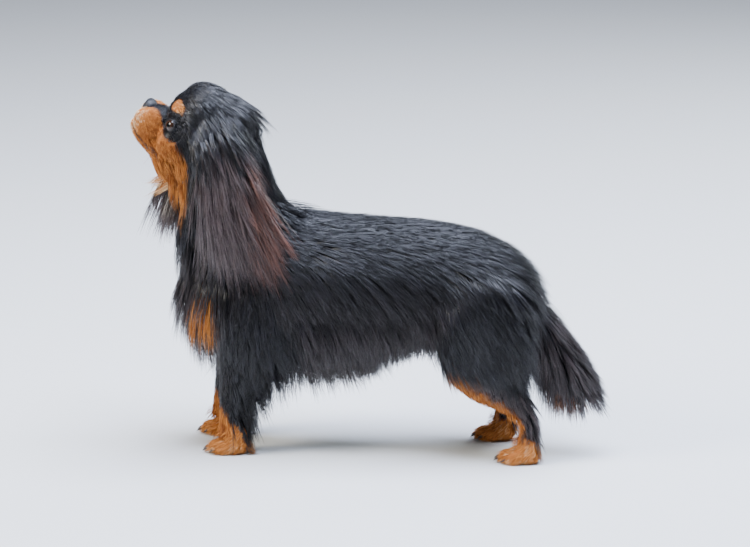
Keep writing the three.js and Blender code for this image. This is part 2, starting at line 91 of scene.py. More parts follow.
floor_mesh = bmesh.new()
bmesh.ops.create_grid(floor_mesh, x_segments=2, y_segments=2, size=FLOOR_HALF)
floor = bpy.data.objects.new("floor", bpy.data.meshes.new("floor"))
floor_mesh.to_mesh(floor.data)
floor_mesh.free()
bpy.context.collection.objects.link(floor)
floor_material, _, _, floor_shader = new_material("pale floor")
set_inputs(floor_shader, {"Base Color": FLOOR_COLOUR, "Roughness": 0.7})
floor.data.materials.append(floor_material)

world = bpy.data.worlds.new("studio")
world.use_nodes = True
set_inputs(world.node_tree.nodes["Background"], {"Color": AIR_COLOUR, "Strength": AIR_STRENGTH})
bpy.context.scene.world = world

LIGHTS = {
    "key": ((-2.8, -1.3, 2.3), 1.2, 170, (1.0, 0.94, 0.85)),
    "sky": ((0.4, -0.1, 3.1), 2.6, 600, (0.70, 0.78, 1.0)),
    "rim": ((1.8, 2.4, 1.9), 1.6, 80, (0.85, 0.92, 1.0)),
}
for light_name, (place, size, power, colour) in LIGHTS.items():
    light_data = bpy.data.lights.new(light_name, "AREA")
    light_data.size = size
    light_data.energy = power
    light_data.color = colour
    light = bpy.data.objects.new(light_name, light_data)
    light.location = place
    light.rotation_euler = (Vector(place) - CAMERA_TARGET).to_track_quat("Z", "Y").to_euler()
    bpy.context.collection.objects.link(light)

# Skin
# One closed skin under the whole coat: the trunk, neck, legs and tail are rounded forms through
# oval sections, the head is drawn over blended ovals, and all are fused and smoothed into one.

MM = 0.001
COAT_DEPTH = {"torso": 8, "neck": 8, "leg": 4.5, "tail": 8, "ear": 1.0, "paw": 2}
VOXEL = 0.0024

# Each row is a centre, a half width, and the half depths in front of and behind the centre, in mm
TORSO_ROWS = [
    (-228, 0, 226, 34, 42, 42),
    (-205, 0, 226, 58, 74, 72),
    (-165, 0, 229, 72, 90, 88),
    (-105, 0, 230, 76, 94, 92),
    (-50, 0, 228, 77, 92, 88),
    (10, 0, 226, 76, 88, 86),
    (65, 0, 229, 71, 80, 81),
    (115, 0, 231, 68, 72, 71),
    (155, 0, 226, 66, 62, 57),
    (188, 0, 210, 56, 50, 42),
    (208, 0, 199, 38, 34, 25),
]
NECK_ROWS = [
    (-204, 0, 432, 44, 52, 60),
    (-197, 0, 400, 46, 56, 62),
    (-188, 0, 360, 50, 64, 66),
    (-176, 0, 320, 56, 72, 68),
    (-162, 0, 280, 64, 80, 76),
    (-150, 0, 240, 62, 82, 78),
]
TAIL_ROWS = [
    (210, 0, 208, 16, 18, 10),
    (230, 0, 176, 18, 22, 11),
    (252, 0, 142, 18, 24, 13),
    (268, 0, 112, 14, 20, 14),
    (279, 0, 90, 10, 13, 11),
]
EAR_ROWS = {
    "left": [
        (-190, -50, 430, 20, 4, 4),
        (-186, -57, 410, 28, 4, 4),
        (-183, -62, 384, 32, 4, 4),
        (-176, -66, 356, 30, 4, 4),
        (-171, -69, 334, 20, 3, 3),
    ],
    "right": [
        (-205, 46, 428, 20, 4, 4),
        (-218, 56, 408, 27, 4, 4),
        (-232, 62, 380, 30, 4, 4),
        (-243, 65, 352, 27, 4, 4),
        (-250, 66, 332, 18, 3, 3),
    ],
}
SIDES = {"left": -1, "right": 1}
FORE_AHEAD = {"left": 0, "right": 22}
HIND_AHEAD = {"left": 0, "right": 38}
FOOT_HIGH = 24


def fore_rows(side, ahead):
    return [
        (-136 - ahead * 0.2, side * 44, 232, 24, 44, 44),
        (-144 - ahead * 0.4, side * 50, 188, 28, 44, 46),
        (-156 - ahead * 0.6, side * 51, 148, 26, 36, 38),
        (-166 - ahead * 0.8, side * 49, 110, 21, 26, 27),
        (-172 - ahead * 0.9, side * 47, 75, 17, 20, 20),
        (-175 - ahead, side * 47, 44, 16, 17.5, 17),
        (-178 - ahead, side * 47, FOOT_HIGH, 17, 18, 18),
    ]


def hind_rows(side, ahead):
    return [
        (158, side * 40, 236, 28, 50, 50),
        (148 - ahead * 0.2, side * 50, 194, 32, 58, 60),
        (146 - ahead * 0.4, side * 54, 152, 30, 56, 60),
        (156 - ahead * 0.6, side * 55, 116, 25, 44, 48),
        (180 - ahead * 0.8, side * 54, 88, 19, 26, 30),
        (204 - ahead, side * 54, 66, 14, 16, 18),
        (209 - ahead, side * 55, 44, 13, 14, 14),
        (207 - ahead, side * 55, FOOT_HIGH, 14, 15, 15),
    ]


def through(rows, t):
    """Smooth values at each t of 0 to 1 through the rows."""
    rows = np.asarray(rows, float)
    last = len(rows) - 1
    where = np.clip(t, 0, 1) * last
    k = np.minimum(where.astype(int), last - 1)
    f = (where - k)[:, None]
    p0, p1 = rows[np.maximum(k - 1, 0)], rows[k]
    p2, p3 = rows[k + 1], rows[np.minimum(k + 2, last)]
    return 0.5 * (
        2 * p1 + (p2 - p0) * f + (2 * p0 - 5 * p1 + 4 * p2 - p3) * f**2
        + (3 * p1 - p0 - 3 * p2 + p3) * f**3
    )


def unit(v):
    return v / np.maximum(np.linalg.norm(v, axis=-1, keepdims=True), 1e-9)


def on_form(rows, t, angle, grow, across=(0, 1, 0), share=1.0, past=0.0):
    """Points on the form in mm, at t along the rows and an angle from its front, and its directions."""
    values = through(rows, t)
    along = unit(through(rows, t + 0.01)[:, :3] - through(rows, t - 0.01)[:, :3])
    across = np.broadcast_to(np.asarray(across, float), along.shape)
    side = unit(across - along * np.sum(across * along, 1, keepdims=True))
    fore = np.cross(side, along)
    size = np.maximum(values[:, 3:] + grow, 1.0)
    deep = np.where(np.cos(angle) > 0, size[:, 1], size[:, 2])
    out = side * (np.sin(angle) * size[:, 0] * share)[:, None]
    out = out + fore * (np.cos(angle) * deep * share)[:, None]
    return values[:, :3] + along * np.reshape(past, (-1, 1)) + out, along, fore


# What the coat needs to know of the form under each spot of skin
under = {"at": [], "part": [], "along": [], "fore": []}
PARTS = ["torso", "neck", "head", "ear_left", "ear_right", "foreleg_left", "foreleg_right",
         "hindleg_left", "hindleg_right", "forepaw_left", "forepaw_right", "hindpaw_left",
         "hindpaw_right", "tail"]


def remember(part, at, along, fore):
    under["at"].append(at)
    under["part"].append(np.full(len(at), PARTS.index(part)))
    under["along"].append(np.broadcast_to(along, at.shape))
    under["fore"].append(np.broadcast_to(fore, at.shape))


def places(verts):
    return np.array([v.co for v in verts])


def put(verts, at):
    for vert, p in zip(verts, at):
        vert.co = p


def rounded_form(bm, part, rows, inset, across=(0, 1, 0), caps=(12, 12), around=40, rings=60, curl=0):
    """A ball drawn out along the rows, with rounded ends, whose edges are curled inwards."""
    ball = bmesh.ops.create_uvsphere(bm, u_segments=around, v_segments=rings, radius=1)["verts"]
    on_ball = places(ball)
    v = np.arcsin(np.clip(-on_ball[:, 2], -1, 1)) / pi + 0.5
    angle = np.arctan2(on_ball[:, 1], on_ball[:, 0])
    end = 0.1
    t = np.clip((v - end) / (1 - 2 * end), 0, 1)
    lean = np.clip(np.minimum(v, 1 - v) / end, 0, 1) * pi / 2
    share = np.sin(lean)
    cap = np.where(v < 0.5, caps[0], caps[1]) - inset
    past = np.where(v < 0.5, -1, 1) * cap * np.cos(lean)
    at, along, fore = on_form(rows, t, angle, -inset, across, share, past)
    at[:, 1] -= curl * np.sin(angle) ** 2
    put(ball, at * MM)
    remember(part, at * MM, along, fore)


flesh = bmesh.new()
rounded_form(flesh, "torso", TORSO_ROWS, COAT_DEPTH["torso"], around=56, rings=72)
rounded_form(flesh, "neck", NECK_ROWS, COAT_DEPTH["neck"], caps=(20, 30), around=48)
rounded_form(flesh, "tail", TAIL_ROWS, COAT_DEPTH["tail"], caps=(8, 8), around=24, rings=40)

EAR_CURL = 5
# Each toe's place ahead of and beside the paw's middle, and its half length, in mm
TOES = [(-12, -13.5, 14), (-20, -5.2, 16), (-20, 5.2, 16), (-12, 13.5, 14)]
PAW_AT = {}
SOLE_HIGH = 0.4


def paw_ball(bm, part, centre, size):
    ball = bmesh.ops.create_uvsphere(bm, u_segments=20, v_segments=14, radius=1)["verts"]
    at = places(ball) * (np.array(size) - COAT_DEPTH["paw"]) + centre
    at[:, 2] = np.maximum(at[:, 2], SOLE_HIGH)
    put(ball, at * MM)
    remember(part, at * MM, (-0.8, 0, -0.6), (-1, 0, 0))


for side_name, side in SIDES.items():
    rounded_form(flesh, f"ear_{side_name}", EAR_ROWS[side_name], COAT_DEPTH["ear"], (1, 0, 0),
                 (5, 5), 48, 40, side * EAR_CURL)
    rounded_form(flesh, f"foreleg_{side_name}", fore_rows(side, FORE_AHEAD[side_name]),
                 COAT_DEPTH["leg"], caps=(18, 4), around=32)
    rounded_form(flesh, f"hindleg_{side_name}", hind_rows(side, HIND_AHEAD[side_name]),
                 COAT_DEPTH["leg"], caps=(18, 4), around=32)
    PAW_AT[f"forepaw_{side_name}"] = (-171 - FORE_AHEAD[side_name], side * 47)
    PAW_AT[f"hindpaw_{side_name}"] = (207 - HIND_AHEAD[side_name], side * 55)
for part, (x, y) in PAW_AT.items():
    paw_ball(flesh, part, (x + 2, y, 12), (21, 18, 16))
    paw_ball(flesh, part, (x + 4, y, FOOT_HIGH + 2), (16, 15, 15))
    for forward, sideways, long in TOES:
        paw_ball(flesh, part, (x + forward, y + sideways, 8.5), (long, 6.8, 11))

# The head's own frame: forward, left and up from the point midway between the eyes
HEAD_AT = (-249, -1, 430)
HEAD_UP, HEAD_LEAN, HEAD_TURN = radians(35), radians(16), radians(-2)
head_frame = (
    Matrix.Translation(HEAD_AT)
    @ Matrix.Rotation(HEAD_TURN, 4, "Z")
    @ Matrix.Rotation(HEAD_UP, 4, "Y")
    @ Matrix.Rotation(HEAD_LEAN, 4, "X")
    @ Matrix(((-1, 0, 0, 0), (0, -1, 0, 0), (0, 0, 1, 0), (0, 0, 0, 1)))
)
head_turn = np.array(head_frame.to_3x3())
HEAD_SIDES = {"left": 1, "right": -1}
HEAD_HEART = np.array((-22.0, 0, 2))
# Each oval's middle and its half lengths, forward, left and up, in mm
HEAD_OVALS = [
    (-36, 0, 14, 48, 45, 42),
    (-56, 0, 24, 46, 43, 40),
    (-60, 0, 44, 38, 36, 36),
    (-28, 0, 44, 38, 36, 28),
    (-4, 0, 22, 20, 27, 20),
    (-1, 17, 17, 13, 12, 9),
    (-1, -17, 17, 13, 12, 9),
    (-22, 25, -16, 28, 23, 27),
    (-22, -25, -16, 28, 23, 27),
    (12, 0, -12, 30, 19, 17),
    (26, 13, -20, 21, 15, 20),
    (26, -13, -20, 21, 15, 20),
    (28, 0, -40, 20, 15, 12),
    (2, 0, -44, 36, 24, 17),
    (-30, 0, -44, 36, 34, 36),
]
BLEND = 9.0
RAY_STEP = 4.0


def to_head(at):
    """Points in metres, in the head's own frame in mm."""
    return (np.asarray(at) / MM - HEAD_AT) @ head_turn


def from_head(at):
    return (np.asarray(at) @ head_turn.T + HEAD_AT) * MM


def head_depth(p):
    """How far each point lies outside the blended ovals, in mm."""
    depth = None
    for f, l, u, rf, rl, ru in HEAD_OVALS:
        radii = np.array((rf, rl, ru), float)
        q = (p - (f, l, u)) / radii
        k0 = np.linalg.norm(q, axis=1)
        k1 = np.linalg.norm(q / radii, axis=1)
        d = k0 * (k0 - 1) / np.maximum(k1, 1e-6)
        if depth is None:
            depth = d
        else:
            h = np.maximum(BLEND - np.abs(depth - d), 0) / BLEND
            depth = np.minimum(depth, d) - h * h * BLEND * 0.25
    return depth


def on_head(directions, inset=0.0):
    """Where rays from the heart of the head leave its surface, as far out as they go."""
    near = np.zeros(len(directions))
    for reach in np.arange(RAY_STEP, 150, RAY_STEP):
        inside = head_depth(HEAD_HEART + directions * reach) < -inset
        near = np.where(inside, reach, near)
    far = near + RAY_STEP
    for _ in range(12):
        middle = (near + far) / 2
        inside = head_depth(HEAD_HEART + directions * middle[:, None]) < -inset
        near = np.where(inside, middle, near)
        far = np.where(inside, far, middle)
    return HEAD_HEART + directions * near[:, None]


def face_inset(directions):
    """The coat is thin on the muzzle and thick on the crown and nape."""
    forward = directions[:, 0]
    return 1.6 + 5.0 * np.clip(0.35 - forward, 0, 1)


head_ball = bmesh.ops.create_uvsphere(
    flesh, u_segments=128, v_segments=96, radius=1, matrix=Matrix.Rotation(pi / 2, 4, "Y"))["verts"]
ways = unit(places(head_ball))
head_points = on_head(ways, face_inset(ways))

# The line of the mouth is a groove from under the nose, round the muzzle, to its corner.
MOUTH = np.array([(48, 1, -31), (42, 11, -38), (27, 19, -46), (12, 23, -48), (-6, 27, -46)], float)
GROOVE_WIDE, GROOVE_DEEP = 2.0, 2.2
mouth_ways = through(MOUTH, np.linspace(0, 1, 60)) - HEAD_HEART
mouth_line = on_head(unit(mouth_ways), face_inset(unit(mouth_ways)))
mouth_line = np.concatenate([mouth_line, mouth_line * (1, -1, 1)])


def nearest(points, targets):
    """The number of the nearest target to each point, and its distance."""
    tree = KDTree(len(targets))
    for i, p in enumerate(targets):
        tree.insert(p, i)
    tree.balance()
    found = [tree.find(p)[1:] for p in points]
    return np.array([i for i, _ in found]), np.array([d for _, d in found])


groove = np.exp(-((nearest(head_points, mouth_line)[1] / GROOVE_WIDE) ** 2))
head_points = head_points - unit(head_points - HEAD_HEART) * (groove * GROOVE_DEEP)[:, None]
head_world = from_head(head_points)
put(head_ball, head_world)
head_back = head_turn @ np.array((-1.0, 0, 0))
remember("head", head_world, head_back, head_turn @ np.array((1.0, 0, 0)))

# Eye sockets: the skin covers each eyeball closely, apart from the gap between the lids
EYE = 10.5
EYES_APART = 24
EYES_HIGH = 4
LOOK = (0.62, 0.77, 0.12)
SET_BACK = 0.5
OPENING, OPENING_FLAT = 0.72, 0.86
COVER = 1.03


def eye_look(side):
    return unit(np.array((LOOK[0], side * LOOK[1], LOOK[2])))


def eye_place(side):
    way = unit(np.array([(14.0, side * EYES_APART, EYES_HIGH)]))
    return on_head(way)[0] - eye_look(side) * EYE * SET_BACK


def new_piece(name, bm, material=None):
    """A smooth piece of that bmesh, whose faces are turned outwards first."""
    bmesh.ops.recalc_face_normals(bm, faces=bm.faces)
    mesh = bpy.data.meshes.new(name)
    bm.to_mesh(mesh)
    bm.free()
    piece = bpy.data.objects.new(name, mesh)
    bpy.context.collection.objects.link(piece)
    mesh.polygons.foreach_set("use_smooth", np.ones(len(mesh.polygons), bool))
    if material:
        mesh.materials.append(material)
    return piece


skin = new_piece("skin", flesh)
fuse = skin.modifiers.new("fuse", "REMESH")
fuse.mode = "VOXEL"
fuse.voxel_size = VOXEL
fused = bpy.data.meshes.new_from_object(skin.evaluated_get(bpy.context.evaluated_depsgraph_get()))
skin.modifiers.clear()
separate, skin.data = skin.data, fused
bpy.data.meshes.remove(separate)


def read(elements, name, each, kind=float):
    values = np.empty(len(elements) * each, kind)
    elements.foreach_get(name, values)
    return values.reshape(-1, each)


def mesh_arrays(mesh):
    verts = mesh.vertices
    return read(verts, "co", 3), read(verts, "normal", 3), read(mesh.edges, "vertices", 2, int)


def spread(values, edges, rounds, weight=0.6):
    """Draws each vertex's values towards its neighbours' mean, that many rounds."""
    count = np.bincount(edges.ravel(), minlength=len(values)).astype(float)
    values = values.reshape(len(values), -1).copy()
    weight = np.asarray(weight).reshape(-1, 1) if np.ndim(weight) else weight
    for _ in range(rounds):
        total = np.empty_like(values)
        for c in range(values.shape[1]):
            total[:, c] = (
                np.bincount(edges[:, 0], values[edges[:, 1], c], len(values))
                + np.bincount(edges[:, 1], values[edges[:, 0], c], len(values))
            )
        values += (total / np.maximum(count, 1)[:, None] - values) * weight
    return values


# The form under every spot of skin
for key in under:
    under[key] = np.concatenate(under[key])
skin_at, skin_normal, skin_edges = mesh_arrays(skin.data)
below = nearest(skin_at, under["at"])[0]
part_of = under["part"][below]
along_of = under["along"][below]
fore_of = under["fore"][below]


def on_part(*names, of=part_of):
    return np.isin(of, [PARTS.index(name) for name in names])


# The trunk, the neck and the thighs run into each other; the face, ears and feet stay crisp.
upper_leg = on_part("foreleg_left", "foreleg_right", "hindleg_left", "hindleg_right")
upper_leg = upper_leg & (skin_at[:, 2] > 0.13)
softness = np.where(on_part("torso", "neck") | upper_leg, 0.75, 0.05)
ear_root = from_head(np.array([(-47.0, side * 44.0, 4.0) for side in HEAD_SIDES.values()]))
softness[np.linalg.norm(skin_at[:, None] - ear_root, axis=2).min(1) < 0.026] = 0.6
softness = spread(softness, skin_edges, 4)
skin_at = spread(skin_at, skin_edges, 26, softness)
skin_at[:, 2] = np.maximum(skin_at[:, 2], 0.0)


def eye_axes(side):
    """The eye's own directions in the head's frame: out of the eye, across it and up."""
    look = eye_look(side)
    across = unit(np.cross((0.0, 0, 1.0), look))
    return look, across, np.cross(look, across)


def from_eye(side, at):
    """How far each point is from the eye's middle in mm, and if it faces the gap between the lids."""
    away = to_head(at) - eye_place(side)
    distance = np.linalg.norm(away, axis=1)
    out, across, above = [away @ axis / np.maximum(distance, 1e-6) for axis in eye_axes(side)]
    return distance, (out > 0) & (np.hypot(across, above / OPENING_FLAT) < OPENING)


for side in HEAD_SIDES.values():
    middle = from_head(eye_place(side))
    distance, in_gap = from_eye(side, skin_at)
    covered = (distance < EYE * COVER) & ~in_gap
    skin_at[covered] = middle + (skin_at[covered] - middle) * (EYE * COVER / distance[covered])[:, None]
skin.data.vertices.foreach_set("co", skin_at.ravel())
skin.data.update()
skin_at, skin_normal, skin_edges = mesh_arrays(skin.data)

# Markings
# Black with bright tan over the eyes, on the muzzle, cheeks, throat, chest, feet, the front of
# the hind legs and under the tail; the ends of the ear feathering are brown.


def step(value, low, high):
    """0 below low, 1 above high, smooth between."""
    f = np.clip((value - low) / (high - low), 0, 1)
    return f * f * (3 - 2 * f)


def wobble(at, size, seed=0.0):
    """A soft, repeatable unevenness of about -1 to 1 at that size in metres."""
    p = np.asarray(at) / size
    return (
        np.sin(p[:, 0] * 1.3 + seed) * np.cos(p[:, 1] * 1.7 - seed)
        + np.sin(p[:, 2] * 1.9 + 2.1 * seed) * np.cos(p[:, 0] * 0.8 + 1.3)
    ) * 0.5


# In the head's frame: the upper edge of the tan on muzzle and cheek, from the corner of the jaw
# forward, the black strip down the bridge, and the spot over each eye
MUZZLE_EDGE = (
    [-58, -50, -42, -34, -22, -10, 0, 8, 15, 22, 44],
    [-60, -34, -18, -8, -5, -7, -9, -8, -3, 1, 4],
)
STRIP_AT, STRIP_HALF = 2, (6.0, 9.0)
BROW_AT, BROW_SIZE = (4, 20, 29), (11.5, 9.5, 8.5)
# The two patches on the breast, and the tops of the tan on the fore feet, stripes and hind feet
BREAST_AT, BREAST_SIZE = (0.047, 0.213), (0.013, 0.012)
FORE_TAN, STRIPE_TAN, HIND_TAN = 0.050, 0.138, 0.034
# Behind this the brown of each ear is redder.
RED_FROM = {"left": -0.18, "right": -0.235}


def markings(at, part, fore_side):
    """(tan, brown) from 0 to 1 at each point. fore_side is 1 where the skin faces forward."""
    x, y, z = at[:, 0], at[:, 1], at[:, 2]
    h = to_head(at)
    f, l, u = h[:, 0], np.abs(h[:, 1]), h[:, 2]
    uneven = wobble(at, 0.006) * 1.4 + wobble(at, 0.0023, 2.0) * 0.7
    named = {n: part == PARTS.index(n) for n in PARTS}
    head = named["head"]
    muzzle = step(np.interp(f, *MUZZLE_EDGE) - u + uneven, -1.5, 2.0)
    strip = step(np.abs(h[:, 1] - STRIP_AT) + uneven * 0.5, *STRIP_HALF) + step(-u, 10, 14)
    muzzle = muzzle * np.clip(strip, 0, 1)
    brow = np.linalg.norm((np.stack([f, l, u], 1) - BROW_AT) / BROW_SIZE, axis=1)
    brow = 1 - step(brow + uneven * 0.05, 0.85, 1.05)
    lip_line = 1 - step(nearest(h, mouth_line)[1] + uneven * 0.4, 1.0, 2.6)
    tan = np.where(head, np.maximum(muzzle, brow) * (1 - 0.85 * lip_line), 0)
    throat = step(-x - 0.229 + uneven * 0.001, 0, 0.006) * step(z, 0.322, 0.336)
    throat = throat * step(0.046 - np.abs(y), 0, 0.01)
    tan = np.where(named["neck"], np.maximum(tan, throat), tan)
    aside, over = (np.abs(y) - BREAST_AT[0]) / BREAST_SIZE[0], (z - BREAST_AT[1]) / BREAST_SIZE[1]
    patch = (1 - step(np.hypot(aside, over) + uneven * 0.1, 0.8, 1.1)) * step(-x, 0.185, 0.195)
    body = named["torso"] | named["neck"]
    tan = np.where(body, np.maximum(tan, patch), tan)
    for name, side in SIDES.items():
        fore = named[f"foreleg_{name}"] | named[f"forepaw_{name}"]
        high = FORE_TAN + uneven * 0.002 + 0.016 * fore_side
        tan = np.where(fore, step(high - z, -0.002, 0.004), tan)
        hind = named[f"hindleg_{name}"] | named[f"hindpaw_{name}"]
        front = step(fore_side + uneven * 0.08, 0.1, 0.5)
        stripe = front * step(STRIPE_TAN - z + uneven * 0.002, 0, 0.01)
        foot = step(HIND_TAN + uneven * 0.002 - z, 0, 0.006)
        tan = np.where(hind, np.maximum(stripe, foot), tan)
        # The far ear's lower fore corner, inside
        inside = named[f"ear_{name}"] & (fore_side * side < -0.1)
        tan = np.where(inside & (x < -0.248), step(0.352 - z, 0, 0.004), tan)
    under_tail = named["tail"] & (fore_side > 0.55)
    tan = np.where(under_tail, 0.35 * step(0.16 - z, 0, 0.03), tan)
    brown = np.zeros(len(at))
    for name, red_from in RED_FROM.items():
        redder = 0.66 + 0.34 * step(x - red_from, -0.004, 0.02)
        brown = np.where(named[f"ear_{name}"], step(0.436 - z, 0, 0.02) * redder, brown)
    hock = (named["hindleg_left"] | named["hindleg_right"]) & (z < 0.12)
    for place, value in ((body, 0.14 * step(0.27 - z, 0, 0.08)), (body & (x < -0.2) & (z < 0.3), 0.28),
                         (hock, 0.4), (named["tail"], 0.3)):
        brown = np.maximum(brown, np.where(place, value, 0))
    return np.clip(tan, 0, 1), np.clip(brown, 0, 1)


facing = np.sum(skin_normal * fore_of, axis=1)
skin_tan, skin_brown = markings(skin_at, part_of, facing)


def colour_attribute(mesh, tan, brown, tone, reach):
    values = np.stack([tan, brown, tone, reach], 1).astype(np.float32)
    mesh.attributes.new("coat", "FLOAT_COLOR", "POINT").data.foreach_set("color", values.ravel())


colour_attribute(skin.data, skin_tan, skin_brown, np.full(len(skin_at), 0.35), np.zeros(len(skin_at)))

BLACK_HAIR = (0.0042, 0.0040, 0.0050, 1)
GREY_HAIR = (0.018, 0.017, 0.023, 1)
DARK_BROWN = (0.032, 0.015, 0.013, 1)
MAUVE_BROWN = (0.27, 0.195, 0.185, 1)
RED_BROWN = (0.25, 0.11, 0.078, 1)
DEEP_TAN = (0.21, 0.054, 0.009, 1)
BRIGHT_TAN = (0.66, 0.26, 0.062, 1)
CREAM = (0.92, 0.70, 0.42, 1)


def hair_colour_group():
    """Colour, roughness and gloss of a hair from its markings: black, brown at the tip, or tan."""
    group = bpy.data.node_groups.new("hair colour", "ShaderNodeTree")
    for way, name, kind in (("INPUT", "Markings", "Color"), ("INPUT", "Reach", "Float"),
                            ("OUTPUT", "Colour", "Color"), ("OUTPUT", "Roughness", "Float"),
                            ("OUTPUT", "Gloss", "Float")):
        group.interface.new_socket(name=name, in_out=way, socket_type=f"NodeSocket{kind}")
    nodes, links = group.nodes, group.links
    given = nodes.new("NodeGroupInput")
    out = nodes.new("NodeGroupOutput")
    split = nodes.new("ShaderNodeSeparateColor")
    links.new(given.outputs["Markings"], split.inputs[0])

    def mix(a, b, factor):
        node = nodes.new("ShaderNodeMix")
        node.data_type = "RGBA"
        for socket, value in ((6, a), (7, b), (0, factor)):
            if isinstance(value, bpy.types.NodeSocket):
                links.new(value, node.inputs[socket])
            else:
                node.inputs[socket].default_value = value
        return node.outputs[2]

    def ramp(value, low, high, top=1.0):
        node = nodes.new("ShaderNodeMapRange")
        node.interpolation_type = "SMOOTHSTEP"
        set_inputs(node, {1: low, 2: high, 3: 0, 4: top})
        links.new(value, node.inputs[0])
        return node.outputs[0]

    tan, brown, tone = split.outputs
    black = mix(BLACK_HAIR, GREY_HAIR, ramp(tone, 0.45, 1.0, 0.8))
    tip = ramp(given.outputs["Reach"], 0.15, 0.9)
    both = nodes.new("ShaderNodeMath")
    both.operation = "MULTIPLY"
    links.new(brown, both.inputs[0])
    links.new(tip, both.inputs[1])
    light_brown = mix(MAUVE_BROWN, RED_BROWN, ramp(brown, 0.66, 0.95))
    dark = mix(black, mix(DARK_BROWN, light_brown, ramp(tone, 0.1, 0.95)), both.outputs[0])
    bright = mix(mix(DEEP_TAN, BRIGHT_TAN, ramp(tone, 0.1, 0.95)), CREAM, ramp(tone, 0.95, 1.6))
    links.new(mix(dark, bright, tan), out.inputs["Colour"])
    for name, on_black, on_tan in (("Roughness", 0.30, 0.75), ("Gloss", 0.94, 0.0)):
        between = nodes.new("ShaderNodeMapRange")
        set_inputs(between, {1: 0, 2: 1, 3: on_black, 4: on_tan})
        links.new(tan, between.inputs[0])
        links.new(between.outputs[0], out.inputs[name])
    return group


hair_colour = hair_colour_group()


def texture_on(nodes, links, kind, scale):
    """A texture of that kind on the piece's Object coordinates."""
    where = nodes.new("ShaderNodeTexCoord")
    texture = nodes.new(f"ShaderNodeTex{kind}")
    set_inputs(texture, {"Scale": scale})
    links.new(where.outputs["Object"], texture.inputs["Vector"])
    return texture


def raise_by(nodes, links, shader, height, strength, distance):
    bump = nodes.new("ShaderNodeBump")
    set_inputs(bump, {"Strength": strength, "Distance": distance})
    links.new(height, bump.inputs["Height"])
    links.new(bump.outputs["Normal"], shader.inputs["Normal"])


def hair_material(name, is_undercoat):
    material, nodes, links, shader = new_material(name)
    attribute = nodes.new("ShaderNodeAttribute")
    attribute.attribute_name = "coat"
    colour = nodes.new("ShaderNodeGroup")
    colour.node_tree = hair_colour
    links.new(attribute.outputs["Color"], colour.inputs["Markings"])
    links.new(attribute.outputs["Alpha"], colour.inputs["Reach"])
    links.new(colour.outputs["Colour"], shader.inputs["Base Color"])
    links.new(colour.outputs["Roughness"], shader.inputs["Roughness"])
    if is_undercoat:
        set_inputs(shader, {"Specular IOR Level": 0.12})
        fluff = texture_on(nodes, links, "Noise", 900)
        fluff.inputs["Detail"].default_value = 3
        raise_by(nodes, links, shader, fluff.outputs["Fac"], 0.5, 0.0006)
    else:
        set_inputs(shader, {"Specular IOR Level": 0.15, "Coat Roughness": 0.30})
        links.new(colour.outputs["Gloss"], shader.inputs["Coat Weight"])
    return material


undercoat = hair_material("undercoat", True)
skin.data.materials.clear()
skin.data.materials.append(undercoat)
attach(skin, "root")
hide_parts("head", "neck", "torso", "tail", "ear_left", "ear_right", "foreleg_left",
            "foreleg_right", "hindleg_left", "hindleg_right", "forepaw_left", "forepaw_right",
            "hindpaw_left", "hindpaw_right")

bpy.context.view_layer.objects.active = skin
skin.select_set(True)
skin.data.uv_layers.new(name="OFBake")
bpy.ops.object.mode_set(mode="EDIT")
bpy.ops.mesh.select_all(action="SELECT")
bpy.ops.uv.smart_project(angle_limit=radians(70), island_margin=0.002)
bpy.ops.object.mode_set(mode="OBJECT")
skin.select_set(False)

# Coat
# Thousands of thin tapered tufts, grouped in locks that follow the lie of the coat: short on the
# face and feet, sleek on the back, long on the ears, chest, belly, backs of the legs and tail.

DOWN = np.array((0.0, 0, -1))
BACK = np.array((1.0, 0, 0))
# The lower edge of each ear's feathering: its fore and aft ends, and how far it bellies down, in mm
EAR_HEM = {
    "left": ((-216, -80, 246), (-52, -79, 250), 24),
    "right": ((-296, 68, 262), (-212, 64, 262), 12),
}
NOSE_AT = (36, 0, -7)
# The hair at each spot of skin: how steeply it lifts and how far it hangs, its length and half
# width, how closely it grows, how far its locks draw together, stand off the skin and sway, how
# much paler its tan is (at the front of the muzzle and in the far ear's tuft partly a painted
# highlight), and whether it falls over the root of the ear. It lies along lie.
field = {name: np.full(len(skin_at), value) for name, value in (
    ("lift", 0.2), ("hang", 0.3), ("length", 0.03), ("width", 0.6 * MM), ("close", 1.0),
    ("gather", 0.3), ("stand", 0.0), ("sway", 1.0), ("pale", 0.0), ("over", 0.0))}
lie = np.tile(DOWN, (len(skin_at), 1))


def across_ear(name, x, z):
    """How far points lie behind the flap's middle line, its half width there and how far out it is."""
    rows = np.array(EAR_ROWS[name], float) * MM
    middle, out, half = [np.interp(-z, -rows[:, 2], rows[:, k]) for k in (0, 1, 3)]
    return x - middle, half, np.abs(out)


def comb(where, direction=None, **values):
    """Sets the hair's direction and measures where that mask is true."""
    if direction is not None:
        lie[where] = np.broadcast_to(direction, lie.shape)[where]
    for name, value in values.items():
        field[name][where] = np.broadcast_to(value, len(lie))[where]


x, y, z = skin_at.T
n = skin_normal
up, forward = n[:, 2], np.sum(n * fore_of, 1)
torso, neck = on_part("torso"), on_part("neck")
steep = np.clip(1 - up, 0, 1) * step(0.32 - z, 0, 0.09)
loin = step(0.2 - z, 0, 0.04) * step(x, -0.02, 0.03) * step(-x, -0.12, -0.08)
turn = 8 + 50 * steep + 24 * step(0.21 - z, 0, 0.08) + 24 * steep * step(-x, 0.08, 0.15) + 18 * loin
turn = np.radians(turn)[:, None]
comb(torso, BACK * np.cos(turn) + DOWN * np.sin(turn), lift=0.06, length=0.052 + 0.016 * steep,
     hang=0.3 * steep, gather=0.2, width=0.43 * MM, close=1.6, sway=0.65)
fringe = np.interp(x, [-0.12, -0.06, 0.0, 0.05, 0.1], [0.100, 0.088, 0.068, 0.056, 0.050])
comb(torso & (up < -0.3) & (x > -0.15), length=fringe, lift=0.8, hang=1.3, gather=0.55)
